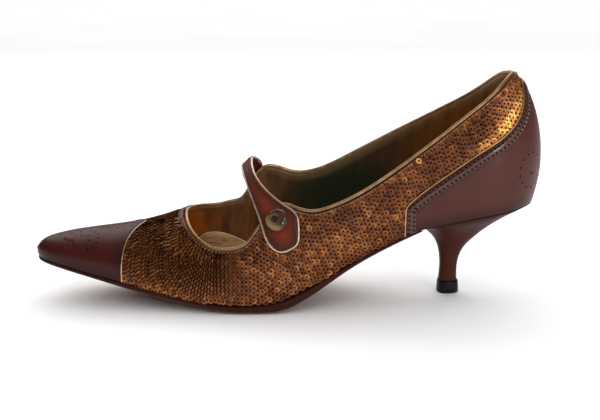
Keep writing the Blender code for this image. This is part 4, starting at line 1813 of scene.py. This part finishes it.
@dataclass
class Trim:
    """Piping, stitches and punched holes on the leather; profile and places of holes are in millimetres."""

    middle_y: float
    rng: random.Random
    cord_crease: float = 80.0
    piping_radius: float = 0.37 * MM
    piping_step: float = 1.2 * MM
    piping_sink: float = 0.25 * MM
    piping_out: float = 0.2 * MM
    piping_tuck: float = 0.45 * MM
    piping_passes: int = 3
    cap_piping_share: float = 0.8
    stitch_length: float = 1.2 * MM
    stitch_radius: float = 0.16 * MM
    stitch_pitch: float = 1.7 * MM
    stitch_lift: float = 0.04 * MM
    stitch_sway: float = 0.08
    cap_inset: float = 1.4 * MM
    counter_insets: Pair = (0.9 * MM, 6.2 * MM)
    strap_inset: float = 1.2 * MM
    hole_radius: float = 0.58 * MM
    hole_lift: float = 0.03 * MM
    band_lift: float = 0.42 * MM
    band_rows: Pair = (1.5 * MM, 4.1 * MM)
    band_pitch: float = 2.4 * MM
    band_step: float = 1.3 * MM
    band_passes: int = 4
    band_edge: float = 0.75
    above: float = 80.0
    pale: Bronze = Bronze(
        "pale_piping", srgb(176, 138, 112), srgb(226, 194, 166), srgb(250, 230, 208), roughness=0.3
    )
    gold: Bronze = Bronze(
        "gold_piping", srgb(150, 108, 68), srgb(208, 164, 112), srgb(242, 208, 158), roughness=0.32
    )
    roll: Bronze = Bronze(
        "bronze_binding", srgb(128, 92, 60), srgb(186, 146, 104), srgb(226, 192, 150), roughness=0.34
    )
    thread: Plain = Plain("thread", srgb(96, 64, 48), srgb(56, 34, 26), roughness=0.7)
    # pit: dark colour of a punched hole, painted shade for the hole's inside.
    pit: Plain = Plain("punched_hole", srgb(16, 9, 8), srgb(8, 5, 5), roughness=0.9)
    strip: Leather = Leather(
        "counter_strip",
        srgb(78, 44, 38),
        srgb(54, 29, 25),
        srgb(88, 50, 44),
        roughness=0.28,
        coat=0.6,
        coat_roughness=0.19,
        grain=520.0,
        grain_depth=0.16 * MM,
    )
    strip_profile: tuple[Pair, ...] = ((0.5, -0.1), (0.7, 0.3), (2.8, 0.42), (4.9, 0.3), (5.2, -0.1))
    cap_holes: tuple[Pair, ...] = (
        (-117.7, 2.8), (-115.1, 7.4), (-112.1, 3.0), (-109.9, 6.2), (-107.4, 3.2), (-106.4, 7.6),
        (-102.8, 9.0), (-101.9, 13.2), (-102.1, 3.4), (-99.8, 5.6), (-97.8, 8.3), (-97.2, 12.0),
        (-97.6, 15.4), (-99.2, 18.2), (-101.8, 18.2), (-103.0, 16.0), (-97.1, 2.0), (-93.9, 1.2),
        (-91.4, 3.0), (-88.3, 3.3), (-84.9, 3.1), (-81.2, 2.4),
    )
    rosette_at: Triple = (121.8, 20.0, 69.0)
    rosette_radius: float = 9.0 * MM
    rosette_holes: int = 13
    rosette_core: float = 1.6 * MM
    rosette_core_turns: Pair = (235.0, 305.0)

    def cord_copies(self, nodes: Nodes, strap: Skin) -> None:
        """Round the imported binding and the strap's piping, which is set against the strap's edge.

        Args:
            nodes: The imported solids.
            strap: The strap's outer face.
        """
        edge = search_tree(points_of(strap.stops))
        packed = (nodes["collar_binding"], nodes["strap_piping"])
        roll, piping = [smooth_copy(node, crease=self.cord_crease) for node in packed]
        for vert in piping.vertices:
            vert.co += strap.stops[edge.find(vert.co)[1]].inward * self.piping_tuck
        stand_in("collar_binding_cord", roll, self.roll.material(), "collar_binding")
        stand_in("strap_piping_cord", piping, self.pale.material(), "strap_piping")

    def edge_piping(self, name: str, skin: Skin, slot: str) -> None:
        """Fine cord along a leather piece's seam, pale and thinner on the toe cap.

        Args:
            name: Name of the cord.
            skin: The leather's outer face.
            slot: Name of the piece it edges, which picks the pale, thinner cord on the toe cap.
        """
        stops = spaced(skin.seam(), self.piping_step, False)
        points = [s.at - s.normal * self.piping_sink - s.inward * self.piping_out for s in stops]
        share, finish = (self.cap_piping_share, self.pale) if slot == "toe_cap" else (1.0, self.gold)
        mesh = cord_mesh(eased(points, False, self.piping_passes), self.piping_radius * share)
        new_piece(name, mesh, finish.material())

    def stitch_line(self, name: str, skin: Skin, stops: list[Stop], inset: float) -> None:
        """Row of stitches at a distance in from an edge.

        Args:
            name: Name of the row.
            skin: The leather's outer face.
            stops: The edge.
            inset: Distance in from it.
        """
        row = spaced([skin.inside(stop, inset) for stop in stops], self.stitch_pitch, False)
        stitch = stitch_shape(self.stitch_length, self.stitch_radius)
        mesh = row_of(stitch, row, self.stitch_lift, self.rng, self.stitch_sway)
        new_piece(name, mesh, self.thread.material())

    def counter_band(self, counter: Skin) -> None:
        """Raised strip along the counter's seam that carries the punched holes.

        Args:
            counter: The counter's outer face.
        """
        stops = spaced(counter.seam(), self.band_step, False)[1:-1]
        rails = []
        for inset, lift in self.strip_profile:
            line = counter.row(stops, [inset * MM] * len(stops), lift * MM)
            rails.append(eased(line, False, self.band_passes))
        mesh = ribbon_mesh(rails, False, True)
        set_values(mesh, "edge", [self.band_edge] * len(mesh.vertices))
        new_piece("counter_band", mesh, self.strip.material())

    def mirrored(self, x: float, y: float, z: float) -> list[Vector]:
        """A place in millimetres from the shoe's middle, on both sides of it."""
        return [Vector((x * MM, self.middle_y + side.value * y * MM, z * MM)) for side in Side]

    def punch(self, name: str, stops: list[Stop], lift: float) -> None:
        """Punched holes at some places, lifted off the leather so that they show."""
        mesh = row_of(hole_shape(self.hole_radius), stops, lift, self.rng)
        new_piece(name, mesh, self.pit.material())

    def cap_medallion(self, cap: Skin) -> None:
        """Punched ornament on top of the toe cap, the same on both sides of the ridge.

        Args:
            cap: The toe cap's outer face.
        """
        starts = [start for x, y in self.cap_holes for start in self.mirrored(x, y, self.above)]
        stops = [Stop(*cap.tree.ray_cast(start, -UP)[:2], ALONG) for start in starts]
        self.punch("cap_medallion", stops, self.hole_lift)

    def counter_rosettes(self, counter: Skin) -> None:
        """Ring of punched holes on each side of the heel's back.

        Args:
            counter: The counter's outer face.
        """
        turns = [k * math.tau / self.rosette_holes for k in range(self.rosette_holes)]
        holes = [(self.rosette_radius, turn) for turn in turns]
        holes += [(self.rosette_core, math.radians(turn)) for turn in self.rosette_core_turns]
        stops = []
        for middle in self.mirrored(*self.rosette_at):
            at, normal, _, _ = counter.tree.find_nearest(middle)
            across = UP.cross(normal).normalized()
            rise = normal.cross(across)
            for reach, turn in holes:
                spot = at + across * reach * math.cos(turn) + rise * reach * math.sin(turn)
                stops.append(Stop(*counter.tree.find_nearest(spot)[:2], ALONG))
        self.punch("counter_rosettes", stops, self.hole_lift)

    def counter_holes(self, counter: Skin) -> None:
        """Staggered rows of punched holes along the counter's band.

        Args:
            counter: The counter's outer face.
        """
        row: list[Stop] = []
        for k, inset in enumerate(self.band_rows):
            line = [counter.inside(stop, inset) for stop in counter.seam()]
            row += spaced(line, self.band_pitch, False, self.band_pitch * (0.5 + 0.5 * k))
        self.punch("counter_holes", row, self.band_lift)


@dataclass
class SockEdge:
    """Edge of the sock lining that has lifted against the medial wall; its line is in millimetres."""

    finish: SockLining = SockLining(
        "sock_edge", srgb(228, 188, 138), srgb(190, 146, 98), speckled=0.6, drawn=(0.18, 1.0, 1.3)
    )
    edge_line: tuple[Pair, ...] = (
        (-60.0, 8.0), (-55.0, 14.0), (-50.0, 20.5), (-45.5, 24.3), (-40.0, 25.0),
        (-34.5, 23.9), (-28.0, 21.2), (-21.8, 17.8), (-16.0, 13.0), (-10.0, 8.0),
    )
    parts: int = 40
    levels: int = 6
    passes: int = 3
    bed_y: float = 20.0 * MM
    above: float = 90.0 * MM
    least_height: float = 0.5 * MM
    foot_lean: float = 5.0 * MM
    clear: float = 0.9 * MM
    thickness: float = 0.7 * MM
    cord_radius: float = 0.5 * MM
    cord: Plain = Plain("sock_edge_line", srgb(250, 226, 184), srgb(222, 186, 138), roughness=0.5)

    def build(self, insole: bpy.types.Object, wall: Skin, middle_y: float) -> None:
        """Lay the sheet against the wall's inside and edge it.

        Args:
            insole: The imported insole.
            wall: The upper.
            middle_y: The shoe's middle.
        """
        packed = merged_copy(insole)
        bed = BVHTree.FromBMesh(packed)
        packed.free()
        rails: list[list[Vector]] = [[] for _ in range(self.levels)]
        places = np.linspace(self.edge_line[0][0], self.edge_line[-1][0], self.parts)
        tops = np.interp(places, *zip(*self.edge_line))
        for x, top in zip(places, tops):
            floor = bed.ray_cast(Vector((x * MM, middle_y + self.bed_y, self.above)), -UP)[0].z + MM
            for level, rail in enumerate(rails):
                share = level / (self.levels - 1)
                z = floor + max(top * MM - floor, self.least_height) * share
                at = wall.tree.ray_cast(Vector((x * MM, middle_y, z)), ACROSS)[0]
                rail.append(at - ACROSS * (self.clear + (1.0 - share) ** 2 * self.foot_lean))
        rails = [eased(rail, False, self.passes) for rail in rails]
        mesh = ribbon_mesh(rails, False, False)
        work = bmesh.new()
        work.from_mesh(mesh)
        bmesh.ops.solidify(work, geom=list(work.faces), thickness=self.thickness)
        bmesh.ops.recalc_face_normals(work, faces=work.faces)
        work.to_mesh(mesh)
        work.free()
        new_piece("sock_edge", mesh, self.finish.material())
        edge = cord_mesh(rails[-1], self.cord_radius)
        new_piece("sock_edge_cord", edge, self.cord.material())


@dataclass(frozen=True)
class Softbox:
    """Area light: where it hangs, the point it faces, its size, its watts and whether gloss shows it."""

    name: str
    at: Triple
    aim: Triple
    size: Pair
    power: float
    mirrored: bool = True

    def build(self) -> None:
        """Hang the light."""
        light = bpy.data.lights.new(self.name, "AREA")
        light.shape = "RECTANGLE"
        light.size, light.size_y = self.size
        light.energy = self.power
        carrier = bpy.data.objects.new(self.name, light)
        carrier.location = self.at
        carrier.rotation_euler = (Vector(self.aim) - Vector(self.at)).to_track_quat("-Z", "Y").to_euler()
        carrier.visible_glossy = self.mirrored
        carrier.visible_camera = False
        bpy.context.scene.collection.objects.link(carrier)


@dataclass
class Studio:
    """Floor, lights and camera."""

    floor_size: float = 14.0
    floor_scale: float = 3.0
    floor_dim: Colour = srgb(243, 243, 243)
    floor_pale: Colour = srgb(247, 247, 247)
    camera_at: Triple = (-0.01312, -0.5472, 0.17149)
    camera_turn: Triple = (77.0, 0.0, -2.0)
    lens: float = 64.8
    sensor: float = 36.0
    sight: float = 50.0
    world: float = 0.05
    lights: tuple[Softbox, ...] = (
        Softbox("sky", (0.0, 4.6, 3.2), (0.0, 4.6, 0.0), (10.0, 11.0), 520.0, False),
        Softbox("front_fill", (-0.4, -1.4, 1.3), (0.0, 0.0, 0.04), (1.4, 1.2), 13.0, False),
        Softbox("overhead", (-0.05, 1.0, 0.82), (0.0, 0.0, 0.04), (1.5, 1.0), 7.0),
        Softbox("right_front", (0.66, -0.62, 0.46), (0.05, 0.0, 0.06), (0.45, 0.45), 1.3),
        Softbox("glint", (0.36, -0.66, 0.17), (0.1, 0.0, 0.078), (0.17, 0.12), 1.2),
    )

    def build(self) -> None:
        """Set the scene round the shoe."""
        self._floor()
        self._camera()
        self._world()
        for light in self.lights:
            light.build()

    def _floor(self) -> None:
        """Lay the pale floor under the shoe."""
        work = bmesh.new()
        bmesh.ops.create_grid(work, x_segments=4, y_segments=4, size=self.floor_size / 2)
        mesh = baked("floor", work)
        graph = Graph("pale_floor")
        tone = graph.ramp(graph.noise(self.floor_scale, 2.0), (0.3, self.floor_dim), (0.7, self.floor_pale))
        mesh.materials.append(graph.dress(Base_Color=tone, Roughness=0.75))
        floor = bpy.data.objects.new("floor", mesh)
        bpy.context.scene.collection.objects.link(floor)

    def _camera(self) -> None:
        """Set the camera at the photograph's angle."""
        camera = bpy.data.cameras.new("camera")
        camera.lens = self.lens
        camera.sensor_width = self.sensor
        camera.clip_end = self.sight
        carrier = bpy.data.objects.new("camera", camera)
        carrier.location = self.camera_at
        carrier.rotation_euler = [math.radians(angle) for angle in self.camera_turn]
        bpy.context.scene.collection.objects.link(carrier)
        bpy.context.scene.camera = carrier

    def _world(self) -> None:
        """Light the surroundings an even white."""
        world = bpy.data.worlds.new("studio")
        world.use_nodes = True
        back = world.node_tree.nodes["Background"]
        back.inputs["Color"].default_value = (1.0, 1.0, 1.0, 1.0)
        back.inputs["Strength"].default_value = self.world
        bpy.context.scene.world = world
        bpy.context.scene.view_settings.view_transform = "Standard"


@dataclass
class Leathers:
    """The leather shells that lie on the upper, and the strap across it."""

    cap: LeatherPiece = LeatherPiece(
        "toe_cap",
        Leather("cap_leather", srgb(60, 22, 16), srgb(40, 15, 12), srgb(70, 26, 19)),
        UP,
        levels=3,
        creases=(
            Crease(((-114.1, -8.3, 32.2), (-112.9, -13.0, 29.7))),
            Crease(((-111.3, -10.0, 32.1), (-110.2, -13.8, 29.9))),
        ),
        burnish=(-133.0, 2.0, 25.0),
    )
    counter: LeatherPiece = LeatherPiece(
        "heel_counter",
        Leather("counter_leather", srgb(77, 40, 33), srgb(52, 26, 22), srgb(88, 46, 38)),
        ALONG,
        creases=(Crease(((111.9, -24.5, 81.3), (110.9, -25.2, 77.4), (109.4, -26.0, 73.6)), width=1.7 * MM),),
    )
    strap: LeatherPiece = LeatherPiece(
        "strap", Leather("strap_leather", srgb(112, 42, 28), srgb(58, 28, 20), srgb(134, 50, 32)), UP
    )

    def build(self, nodes: Nodes) -> list[Skin]:
        """The outer faces of toe cap, counter and strap, once these are built."""
        return [piece.build(nodes) for piece in (self.cap, self.counter, self.strap)]


def main() -> None:
    """Build the shoe's pieces in order and set the scene."""
    logging.basicConfig(level=logging.INFO, format="%(message)s")
    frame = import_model()
    nodes = frame["nodes"]
    low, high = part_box("upper")
    middle_y = (low.y + high.y) / 2
    rng = random.Random(SEED)
    Studio().build()
    Bottom().build(nodes)
    wall = Upper().build(nodes)
    cap, counter, strap = Leathers().build(nodes)
    binding = Binding()
    binding.build(wall, rng)
    Sequins().build(wall, [cap, counter], binding, rng)
    Button().build(nodes)
    trim = Trim(middle_y, rng)
    trim.cord_copies(nodes, strap)
    trim.counter_band(counter)
    trim.cap_medallion(cap)
    trim.counter_rosettes(counter)
    SockEdge().build(nodes["insole"], wall, middle_y)
    trim.edge_piping("cap_piping", cap, "toe_cap")
    trim.edge_piping("counter_piping", counter, "heel_counter")
    trim.stitch_line("cap_stitches", cap, cap.seam(), trim.cap_inset)
    for name, inset in zip(("counter_stitches", "counter_inner_stitches"), trim.counter_insets):
        trim.stitch_line(name, counter, counter.seam(), inset)
    trim.stitch_line("strap_stitches", strap, strap.stops, trim.strap_inset)
    trim.counter_holes(counter)


if __name__ == "__main__":
    main()
